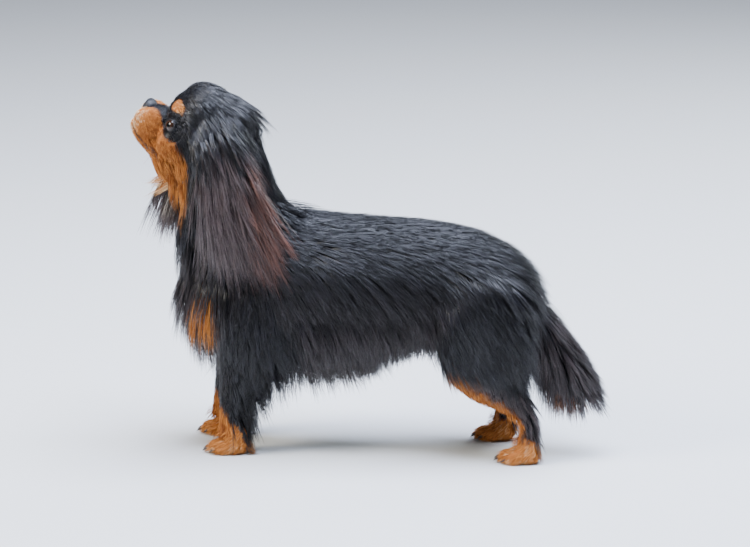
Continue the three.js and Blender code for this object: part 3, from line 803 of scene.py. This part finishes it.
breast = (torso | neck) & (x < -0.16) & (n[:, 0] < -0.25) & (z < 0.34)
comb(breast, DOWN, length=0.085, lift=0.55, hang=0.9, gather=0.55)
comb(torso & (x <= -0.15) & (up < -0.3), length=0.088, lift=0.7, hang=1.3, gather=0.55)
comb(neck & ~breast, DOWN + BACK * 0.3, length=0.050, lift=0.08, gather=0.2, width=0.45 * MM, close=1.3)
comb(neck & (x < -0.225) & (z > 0.33), DOWN + BACK * 0.3, length=0.026, lift=0.12, gather=0.1,
     width=0.34 * MM, close=3.4, stand=0.0035)
# Under the near ear's flap the coat lies flat.
beneath_ear = (torso | neck) & (y < -0.03) & (x > -0.22) & (x < -0.07) & (z > 0.235) & (z < 0.41)
comb(beneath_ear, length=0.030, lift=0.02)

f, l, u = to_head(skin_at).T
head = on_part("head")
down_head = head_turn @ np.array((0, 0, -1.0))
droop = 0.5 * step(-u, -20, 20) + 0.7 * step(np.abs(l), 18, 40) * step(-f, 5, 30)
sweep = head_back + down_head * droop[:, None]
nape = step(-f, 45, 85)[:, None]
sweep = sweep * (1 - nape) + (DOWN + BACK * 0.2) * nape
grown = np.interp(f, [-90, -70, -45, -25, -12, 0, 10, 20, 45], [22, 36, 48, 40, 24, 9, 6.0, 4.6, 3.4])
bare = np.interp(f, [-70, -45, -25, -8, 5, 20, 45], [34, 36, 16, 8, 5.6, 4.4, 3.4])
# The pale term at the front of the muzzle paints its tan paler and creamier: partly its own colour,
# partly a painted rim light.
comb(head, sweep, length=(bare + (grown - bare) * step(u, 12, 34)) * MM,
     lift=np.interp(f, [-50, 0, 40], [0.03, 0.08, 0.16]), sway=np.interp(f, [-50, 0], [0.5, 0.9]),
     hang=np.interp(f, [-62, -40, 0], [1.1, 0.3, 0.0]), gather=np.interp(f, [-50, -10], [0.15, 0.0]),
     width=np.interp(f, [-50, -10, 20], [0.45, 0.32, 0.26]) * MM,
     close=np.interp(f, [-50, -10, 20], [2.2, 4.2, 5.2]),
     pale=0.9 * step(f, 24, 42) + 0.4 * step(u, 14, 20))
# From the sides of the crown the coat falls over the roots of the ears.
comb(head & (f < -22) & (np.abs(l) > 20) & (u > -14),
     DOWN + BACK * (0.35 + 0.5 * step(u, 14, 44))[:, None],
     length=np.interp(f, [-60, -40, -26, -20], [0.062, 0.060, 0.044, 0.024]), lift=0.06, hang=0.35,
     gather=0.22, stand=0.0015, width=0.36 * MM, close=3.4, over=1.0)
comb(head & (u < -38) & (f < -8), length=0.022, lift=0.1, stand=0.002)

for name, side in SIDES.items():
    ear = on_part(f"ear_{name}")
    behind, half, _ = across_ear(name, x, z)
    fan = np.clip(behind / half, -1, 1)
    first, last, belly = EAR_HEM[name]
    hem = (np.array(first) + (np.array(last) - first) * (0.5 + 0.5 * fan)[:, None]) * MM
    hem[:, 2] -= belly * MM * (1 - fan**2)
    away = hem - skin_at
    most = np.interp(z, [0.33, 0.38, 0.41, 0.44], [0.170, 0.160, 0.100, 0.055])
    comb(ear, unit(away), length=np.minimum(np.linalg.norm(away, axis=1) * 1.06, most), lift=0.05,
         hang=0.0, gather=0.36, stand=0.004, width=0.43 * MM, close=4.2)
    inner = ear & (n[:, 1] * side < -0.1)
    comb(inner, length=np.interp(z, [0.33, 0.36, 0.44], [0.060, 0.030, 0.015]), lift=0.1, close=1.6)
    if name == "right":
        # A tuft of tan hair stands forward from the inside of the far ear, painted pale cream as a
        # painted backlight.
        comb(inner & (x < -0.24) & (z < 0.36), length=0.034, gather=0.1)
        comb(inner & (x < -0.246) & (z < 0.350), (-0.95, 0, -0.28), length=0.040, lift=0.25, close=7,
             pale=0.9, gather=0.0, sway=1.6, width=0.32 * MM)

    behind = step(-forward, -0.1, 0.7)
    low = behind * step(0.2 - z, 0, 0.04)
    comb(on_part(f"foreleg_{name}"), DOWN + BACK * (0.1 + 0.5 * low)[:, None],
         length=0.012 + 0.034 * step(z, 0.12, 0.18) + low * 0.070, gather=0.25 + 0.3 * low,
         lift=0.1 + 0.3 * low, width=0.42 * MM, close=1.8)
    thigh = step(z, 0.1, 0.15)
    low = behind * (1 - thigh)
    comb(on_part(f"hindleg_{name}"), DOWN + BACK * (0.3 + 0.3 * thigh)[:, None],
         length=0.011 + 0.046 * thigh + behind * 0.032, gather=0.22 + 0.3 * low,
         lift=0.07 + 0.3 * low, width=0.43 * MM, close=1.9, sway=0.7)

beneath = step(forward, -0.5, 0.6)
plume = (DOWN - BACK * 0.45) * (0.85 * beneath)[:, None] + BACK * (0.6 * (1 - beneath))[:, None]
comb(on_part("tail"), along_of * (1 - 0.6 * beneath)[:, None] + plume + n * 0.15,
     length=0.064 + beneath * (np.clip(z - 0.042, 0.03, 0.105) - 0.064), lift=0.36,
     hang=0.1 + 0.2 * beneath, gather=0.12, close=6.0, width=0.46 * MM, sway=0.5)
comb(on_part(*PAW_AT), DOWN * 0.6 - BACK * 0.8, length=0.011, lift=0.2, width=0.3 * MM, gather=0.1,
     close=3.0, pale=0.35)
# No hair on the soles, in the gap between the lids or under the nose leather
comb(z < 0.003, close=0.02)
for side in HEAD_SIDES.values():
    distance, in_gap = from_eye(side, skin_at)
    comb(distance < EYE * 1.7, length=0.0034)
    comb((distance < EYE * 1.06) & in_gap, close=0)
comb(np.linalg.norm(np.stack([f, l, u], 1) - NOSE_AT, axis=1) < 11, close=0)

draw_in = np.where(torso | neck | upper_leg, 0.6, 0.12)
lie = spread(unit(lie), skin_edges, 44, draw_in)
SMOOTHED = ("lift", "hang", "length", "width", "gather", "stand", "sway", "pale", "over")
drawn = spread(np.stack([field[name] for name in SMOOTHED], 1), skin_edges, 20, draw_in)
field.update(zip(SMOOTHED, drawn.T))

skin.data.calc_loop_triangles()
tri = read(skin.data.loop_triangles, "vertices", 3, int)
tri_loops = read(skin.data.loop_triangles, "loops", 3, int)
skin_uv = read(skin.data.uv_layers["OFBake"].data, "uv", 2)

TUFTS = 101000
LOCK_OF = 12
ROOT_SUNK = 0.0012
corner = skin_at[tri]
area = np.linalg.norm(np.cross(corner[:, 1] - corner[:, 0], corner[:, 2] - corner[:, 0]), axis=1) / 2
want = area * field["close"][tri].mean(1)
draw = np.random.default_rng(7)
picked = np.searchsorted(np.cumsum(want), (np.arange(TUFTS) + draw.random(TUFTS)) / TUFTS * want.sum())
picked = np.clip(picked, 0, len(tri) - 1)
a, b = draw.random((2, TUFTS))
fold = a + b > 1
a, b = np.where(fold, 1 - a, a), np.where(fold, 1 - b, b)
share = np.stack([1 - a - b, a, b], 1)


def at_roots(values):
    values = np.asarray(values)
    if values.ndim == 1:
        return np.sum(values[tri[picked]] * share, 1)
    return np.einsum("ijk,ij->ik", values[tri[picked]], share)


roots = at_roots(skin_at)
root_normal = unit(at_roots(skin_normal))
root_lie = at_roots(lie)
root_part = part_of[tri[picked, 0]]
root_facing = at_roots(facing)
root_uv = np.clip(np.einsum("ijk,ij->ik", skin_uv[tri_loops[picked]], share), 0.0015, 0.9985)
tan, brown = markings(roots, root_part, root_facing)
root_is = {name: at_roots(field[name]) for name in SMOOTHED}

# Every lock has one leading tuft; the others lean towards it along their length.
leaders = draw.permutation(TUFTS)[: TUFTS // LOCK_OF]
OTHER_FACE = 0.02
lock_at = roots + root_normal * OTHER_FACE
leader_of = nearest(lock_at, lock_at[leaders])[0]

PATH = np.linspace(0, 1, 6)


def lock_paths():
    """The course of every leading tuft, bent by its own weight and kept clear of the skin."""
    r = leaders
    n = root_normal[r]
    flow = root_lie[r] - n * np.sum(root_lie[r] * n, 1, keepdims=True)
    flow = unit(flow)
    across = np.cross(n, flow)
    sway = wobble(roots[r], 0.022, 1.0) * 0.14 + draw.normal(0, 0.07, len(r))
    flow = unit(flow + across * (sway * root_is["sway"][r])[:, None])
    start = unit(flow + n * root_is["lift"][r][:, None])
    ending = unit(flow * 0.9 + root_lie[r] * 0.4 + DOWN * root_is["hang"][r][:, None]
                  + across * draw.normal(0, 0.08, len(r))[:, None])
    long = root_is["length"][r] * draw.uniform(0.86, 1.1, len(r))
    paths = np.stack([
        roots[r] + (start * (t - t * t / 2) + ending * (t * t / 2)) * long[:, None] for t in PATH], 1)
    for name, side in SIDES.items():
        mine = np.flatnonzero((root_is["over"][r] > 0.5) & (roots[r, 1] * side > 0))
        px, py, pz = np.moveaxis(paths[mine], 2, 0)
        behind, half, out = across_ear(name, px, pz)
        over = (1 - step(np.abs(behind) - half, -0.004, 0.010)) * step(0.442 - pz, 0, 0.016)
        flap = out + 0.006 + 0.003 * PATH
        paths[mine, :, 1] = side * (np.abs(py) + over * np.maximum(flap - np.abs(py), 0))
    shape = BVHTree.FromPolygons(skin_at.tolist(), tri.tolist())
    for i in range(len(r)):
        for k in range(1, len(PATH)):
            p = Vector(paths[i, k])
            spot, normal, _, _ = shape.find_nearest(p)
            clear = 0.0008 + (0.05 * float(long[i]) + float(root_is["stand"][r[i]])) * PATH[k]
            height = (p - spot).dot(normal)
            if clear - 0.014 < height < clear:
                paths[i, k] = p + normal * (clear - height)
    paths[:, :, 2] = np.maximum(paths[:, :, 2], 0.0006)
    return pressed_in(paths)


SIDE_AT = 0.0805


def pressed_in(at):
    """The longest hair is pressed close to the dog's sides."""
    wide = np.abs(at[..., 1])
    at[..., 1] = np.sign(at[..., 1]) * np.where(wide > SIDE_AT, SIDE_AT + (wide - SIDE_AT) * 0.3, wide)
    return at


paths = lock_paths()

# A long tuft has three rings of corners and a point, a short one two.
RINGS = {True: ((0, 0.34, 0.7, 1.0), (0.8, 1.0, 0.62)), False: ((0, 0.5, 1.0), (0.9, 0.8))}
SHORT = 0.013


def along_path(which, t):
    where = np.clip(t, 0, 1) * (len(PATH) - 1)
    k = np.minimum(where.astype(int), len(PATH) - 2)
    f = (where - k)[:, None]
    return paths[which, k] * (1 - f) + paths[which, k + 1] * f


leader_tone = draw.random(len(leaders)) - 0.5


def tufts(chosen, long):
    """Corners, triangles, bake patches and coat values of closed three-sided tufts."""
    rings, widths = RINGS[long]
    count = len(chosen)
    own = draw.uniform(0.74, 1.0, count)
    led_by = leader_of[chosen]
    offset = roots[chosen] - roots[leaders[led_by]]
    stray = draw.normal(0, 0.03, (count, 3)) * root_is["length"][chosen][:, None]
    gather = root_is["gather"][chosen][:, None]
    centres = [
        pressed_in(along_path(led_by, t * own) + offset * (1 - gather * t**0.8) + stray * t * t)
        for t in rings]
    centres[0] = centres[0] - root_normal[chosen] * ROOT_SUNK
    wide = root_is["width"][chosen] * draw.uniform(0.75, 1.25, count)
    corners = []
    for i, size in enumerate(widths):
        tangent = unit(centres[i + 1] - centres[i])
        side = unit(np.cross(root_normal[chosen], tangent))
        up = np.cross(tangent, side)
        w = (wide * size)[:, None]
        corners += [centres[i] + side * w, centres[i] - side * w, centres[i] + up * w * 0.7]
    vertices = np.stack([*corners, centres[-1]], 1)
    vertices[:, :, 2] = np.maximum(vertices[:, :, 2], 0.0002)
    per = vertices.shape[1]
    faces = [(0, 2, 1)]
    for k in range(0, per - 4, 3):
        for i in range(3):
            j = (i + 1) % 3
            faces += [(k + i, k + j, k + 3 + i), (k + j, k + 3 + j, k + 3 + i)]
    faces += [(per - 4, per - 3, per - 1), (per - 3, per - 2, per - 1), (per - 2, per - 4, per - 1)]
    triangles = (np.array(faces)[None] + (np.arange(count) * per)[:, None, None]).reshape(-1, 3)
    reach = np.append(np.repeat(rings[:-1], 3), 1.0)
    patch = np.stack([np.append(np.tile((0, 1, 0.5), len(widths)), 0.5), reach], 1) * 0.003 - 0.0015
    uv = (root_uv[chosen][:, None] + patch[None]).reshape(-1, 2)
    tone = draw.normal(0.5, 0.17, count) + leader_tone[led_by] * 0.6
    # The pale field lifts the tan towards cream: at the muzzle's front and in the far ear's tuft this is
    # partly painted highlight.
    tone = np.clip(tone, 0, 1) + root_is["pale"][chosen] * tan[chosen]
    values = [np.repeat(v, per) for v in (tan[chosen], brown[chosen], tone)] + [np.tile(reach, count)]
    return vertices.reshape(-1, 3), triangles, uv, np.stack(values, 1)


def make_coat_piece(name, chosen):
    """One joined mesh of the chosen tufts."""
    is_long = root_is["length"][chosen] > SHORT
    sets = [tufts(chosen[is_long == long], long) for long in (True, False) if (is_long == long).any()]
    starts = np.cumsum([0] + [len(s[0]) for s in sets])
    flat = np.concatenate([s[0] for s in sets])
    triangles = np.concatenate([s[1] + start for s, start in zip(sets, starts)])
    uv = np.concatenate([s[2] for s in sets])
    values = np.concatenate([s[3] for s in sets])
    mesh = bpy.data.meshes.new(name)
    mesh.vertices.add(len(flat))
    mesh.vertices.foreach_set("co", flat.ravel())
    mesh.loops.add(len(triangles) * 3)
    mesh.loops.foreach_set("vertex_index", triangles.ravel())
    mesh.polygons.add(len(triangles))
    mesh.polygons.foreach_set("loop_start", np.arange(len(triangles)) * 3)
    mesh.polygons.foreach_set("use_smooth", np.ones(len(triangles), bool))
    mesh.update()
    mesh.uv_layers.new(name="OFBake").data.foreach_set("uv", uv[triangles.ravel()].ravel())
    colour_attribute(mesh, *values.T)
    piece = bpy.data.objects.new(name, mesh)
    bpy.context.collection.objects.link(piece)
    mesh.materials.append(long_hair)
    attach(piece, "root")


long_hair = hair_material("long hair", False)
right_side = roots[:, 1] > 0
on_face = to_head(roots)[:, 0] > -12
COAT_PIECES = {
    "coat_face": (on_part("head", of=root_part) & on_face, "coat_tan"),
    "coat_crown": (on_part("head", of=root_part) & ~on_face, "coat_black"),
    "coat_neck": (on_part("neck", of=root_part), "coat_black"),
    "coat_tail": (on_part("tail", of=root_part), "coat_black"),
}
for name, is_side in (("left", ~right_side), ("right", right_side)):
    trunk = on_part("torso", of=root_part) & is_side
    COAT_PIECES[f"coat_shoulder_{name}"] = (trunk & (roots[:, 0] < -0.05), "coat_black")
    COAT_PIECES[f"coat_flank_{name}"] = (trunk & (roots[:, 0] >= -0.05), "coat_black")
    COAT_PIECES[f"coat_ear_{name}"] = (on_part(f"ear_{name}", of=root_part), "coat_brown")
    for end in ("fore", "hind"):
        limb = on_part(f"{end}leg_{name}", f"{end}paw_{name}", of=root_part)
        COAT_PIECES[f"coat_{end}leg_{name}"] = (limb, "coat_black")
for name, (mask, slot) in COAT_PIECES.items():
    make_coat_piece(name, np.flatnonzero(mask))

# Eyes
# Large, dark brown and wet, set well apart, each a ball with a clear bulge over its iris. The
# colours go out in rings from the pupil to the white, which shows only at the corners.

BALL_SHARE = 0.985
for name, side in HEAD_SIDES.items():
    ball = bmesh.new()
    bmesh.ops.create_uvsphere(ball, u_segments=48, v_segments=32, radius=EYE * BALL_SHARE)
    turn = Vector((0, 0, 1)).rotation_difference(Vector(eye_look(side))).to_matrix().to_4x4()
    on_ball = places(ball.verts)
    out = on_ball[:, 2] / EYE
    bulge = 1 + 0.06 * step(out, 0.62, 0.95)
    angle = np.arccos(np.clip(out / BALL_SHARE, -1, 1))
    placed = (on_ball * bulge[:, None]) @ np.array(turn.to_3x3()).T + eye_place(side)
    put(ball.verts, from_head(placed))
    eye, nodes, links, shader = new_material(f"eye {name}")
    piece = new_piece(f"eye_{name}_ball", ball, eye)
    rings = piece.data.attributes.new("ring", "FLOAT", "POINT")
    rings.data.foreach_set("value", angle.astype(np.float32))
    ring = nodes.new("ShaderNodeAttribute")
    ring.attribute_name = "ring"
    shade = nodes.new("ShaderNodeValToRGB")
    stops = shade.color_ramp
    stops.elements[0].position, stops.elements[0].color = 0.30, (0.001, 0.001, 0.001, 1)
    stops.elements[1].position, stops.elements[1].color = 0.36, (0.030, 0.012, 0.006, 1)
    stops.elements.new(0.66).color = (0.012, 0.005, 0.003, 1)
    stops.elements.new(0.76).color = (0.004, 0.003, 0.003, 1)
    stops.elements.new(0.98).color = (0.016, 0.012, 0.011, 1)
    links.new(ring.outputs["Fac"], shade.inputs["Fac"])
    links.new(shade.outputs["Color"], shader.inputs["Base Color"])
    set_inputs(shader, {"Roughness": 0.2, "Specular IOR Level": 0.1, "Coat Weight": 0.6,
                        "Coat Roughness": 0.02})
    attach(piece, "root")
    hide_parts(f"eye_{name}")

# Lids
# A dark leathery rim round the gap of each eye, a little wider than high, that lies on the ball
# and closes the edge of the skin.

RIM_OUT, RIM_RADIUS, RIM_THICK = 6.7, 8.2, 1.25
RIM_LEAST = 0.97
rim_leather, nodes, links, shader = new_material("lid leather")
set_inputs(shader, {"Base Color": (0.005, 0.004, 0.005, 1), "Roughness": 0.55, "Specular IOR Level": 0.3})
grain = texture_on(nodes, links, "Noise", 1400)
raise_by(nodes, links, shader, grain.outputs["Fac"], 0.35, 0.0003)


def hoop(radius, thick, around, steps):
    """A closed ring of round wire about the Z axis."""
    bm = bmesh.new()
    bmesh.ops.create_circle(bm, segments=around, radius=thick,
                            matrix=Matrix.Translation((radius, 0, 0)) @ Matrix.Rotation(pi / 2, 4, "X"))
    bmesh.ops.spin(bm, geom=bm.verts[:] + bm.edges[:], cent=(0, 0, 0), axis=(0, 0, 1), angle=2 * pi,
                   steps=steps, use_merge=True)
    bmesh.ops.remove_doubles(bm, verts=bm.verts, dist=1e-4)
    return bm


for name, side in HEAD_SIDES.items():
    rim = hoop(RIM_RADIUS, RIM_THICK, 12, 40)
    at = places(rim.verts)
    out, across, above = eye_axes(side)
    height = RIM_OUT + at[:, 2:] + 0.5 * np.maximum(at[:, 1:2], 0) / RIM_RADIUS
    away = across * at[:, :1] + above * at[:, 1:2] * OPENING_FLAT + out * height
    reach = np.linalg.norm(away, axis=1, keepdims=True)
    put(rim.verts, from_head(eye_place(side) + away / reach * np.maximum(reach, EYE * RIM_LEAST)))
    piece = new_piece(f"lid_rim_{name}", rim, rim_leather)
    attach(piece, "root")

# Nose
# Black pebbled leather, broad and flat in front, with a groove down its middle and two open
# comma-shaped nostrils.

NOSE_SIZE = (9.6, 12.2, 9.4)
nose = bmesh.new()
bmesh.ops.create_uvsphere(nose, u_segments=96, v_segments=64, radius=1)
on_ball = places(nose.verts)
shape = on_ball * NOSE_SIZE
front = on_ball[:, 0] > 0
shape[:, 0] -= front * 0.12 * NOSE_SIZE[0] * on_ball[:, 0] ** 5
shape[:, 2] += 0.8 * on_ball[:, 0] * np.abs(on_ball[:, 1])
for side in HEAD_SIDES.values():
    beside, over = shape[:, 1] - side * 5.2, shape[:, 2] - 0.2
    nostril = np.hypot(beside / 2.6, (over + 0.35 * side * beside) / 1.7)
    shape[:, 0] -= front * 4.2 * np.exp(-nostril**2)
    slit = np.hypot((shape[:, 1] - side * 9.0) / 3.0, (shape[:, 2] + 1.6) / 1.1)
    shape[:, 0] -= front * 1.8 * np.exp(-slit**2)
shape[:, 0] -= front * 1.6 * np.exp(-((shape[:, 1] / 0.9) ** 2)) * (on_ball[:, 2] < 0.5)
put(nose.verts, from_head(shape + NOSE_AT))


def tint(nodes, links, shader, value, low, high):
    """The base colour goes from low to high with that value."""
    ramp = nodes.new("ShaderNodeValToRGB")
    ramp.color_ramp.elements[0].color = (*low, 1)
    ramp.color_ramp.elements[1].color = (*high, 1)
    links.new(value, ramp.inputs["Fac"])
    links.new(ramp.outputs["Color"], shader.inputs["Base Color"])


leather, nodes, links, shader = new_material("nose leather")
pebbles = texture_on(nodes, links, "Voronoi", 1100).outputs["Distance"]
tint(nodes, links, shader, pebbles, (0.004, 0.004, 0.0045), (0.02, 0.02, 0.024))
raise_by(nodes, links, shader, pebbles, 0.6, 0.0004)
set_inputs(shader, {"Roughness": 0.42, "Specular IOR Level": 0.28})
piece = new_piece("nose_leather", nose, leather)
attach(piece, "root")
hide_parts("nose")

# Claws
# Short, blunt, dark horn, one from each toe.

horn, nodes, links, shader = new_material("claw horn")
streak = texture_on(nodes, links, "Noise", 500).outputs["Fac"]
tint(nodes, links, shader, streak, (0.012, 0.009, 0.008), (0.07, 0.05, 0.04))
set_inputs(shader, {"Roughness": 0.35})
CLAW_LONG, CLAW_THICK, CLAW_HIGH = 9, 2.4, 7.0
for part, (x, y) in PAW_AT.items():
    claws = bmesh.new()
    for forward, sideways, long in TOES:
        made = bmesh.ops.create_uvsphere(claws, u_segments=14, v_segments=12, radius=1)["verts"]
        on_ball = places(made)
        t = (on_ball[:, 2] + 1) / 2
        bend, reach, narrow = 0.55 * t, CLAW_LONG * t, 1 - 0.6 * t
        thick = on_ball[:, 0] * CLAW_THICK * narrow
        at = np.stack([
            x + forward - long + 3.2 - reach * np.cos(bend) + thick * np.sin(bend),
            y + sideways * 1.04 + on_ball[:, 1] * CLAW_THICK * 0.7 * narrow,
            np.maximum(CLAW_HIGH - reach * np.sin(bend) * 0.9 + thick * np.cos(bend), 0.3),
        ], 1)
        put(made, at * MM)
    piece = new_piece(f"claws_{part}", claws, horn)
    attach(piece, "root")

# Collar
# A thin round cord, braided and black, that lies round the neck under the long hair, close behind
# the ears, with a small steel ring on it at the nape.

COLLAR_TILT = unit(np.array((-0.571, 0, 0.821)))
COLLAR_AT = np.array((-200, 0, 391)) - 13 * COLLAR_TILT
COLLAR_THICK, COLLAR_SUNK = 3.0, 11
SPUN_AT = 60
braid, nodes, links, shader = new_material("braided cord")
weave = texture_on(nodes, links, "Wave", 420)
weave.inputs["Distortion"].default_value = 1.2
tint(nodes, links, shader, weave.outputs["Fac"], (0.006, 0.006, 0.007), (0.028, 0.028, 0.032))
raise_by(nodes, links, shader, weave.outputs["Fac"], 0.7, 0.0006)
set_inputs(shader, {"Roughness": 0.6})


def round_neck(angle):
    """Points in mm where the collar's plane meets the neck, as deep in its coat as the cord lies."""
    near, far = np.zeros(len(angle)), np.ones(len(angle))
    grow = COLLAR_THICK - COLLAR_SUNK
    for _ in range(24):
        middle = (near + far) / 2
        above = (on_form(NECK_ROWS, middle, angle, grow)[0] - COLLAR_AT) @ COLLAR_TILT > 0
        near, far = np.where(above, middle, near), np.where(above, far, middle)
    return on_form(NECK_ROWS, near, angle, grow)[0]


cord = hoop(SPUN_AT, COLLAR_THICK, 10, 90)
at = places(cord.verts)
centre_line = round_neck(np.arctan2(at[:, 1], at[:, 0]))
outward = unit(centre_line - centre_line.mean(0))
across = np.hypot(at[:, 0], at[:, 1]) - SPUN_AT
put(cord.verts, (centre_line + outward * across[:, None] + COLLAR_TILT * at[:, 2:3]) * MM)
piece = new_piece("collar_cord", cord, braid)
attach(piece, "root")
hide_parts("collar")

steel, nodes, links, shader = new_material("polished steel")
set_inputs(shader, {"Metallic": 1.0, "Roughness": 0.22})
wear = texture_on(nodes, links, "Noise", 300).outputs["Fac"]
tint(nodes, links, shader, wear, (0.42, 0.43, 0.45), (0.72, 0.73, 0.75))
RING_RADIUS, RING_WIRE, RING_SUNK = 6.5, 1.3, 5
ring = hoop(RING_RADIUS, RING_WIRE, 12, 40)
upright = places(ring.verts) @ np.array(Matrix.Rotation(pi / 2, 3, "X")).T
nape_at = round_neck(np.array([pi]))[0] + (RING_RADIUS - RING_SUNK, 0, 0)
put(ring.verts, (upright + nape_at) * MM)
piece = new_piece("nape_ring", ring, steel)
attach(piece, "root")
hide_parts("collar_ring")
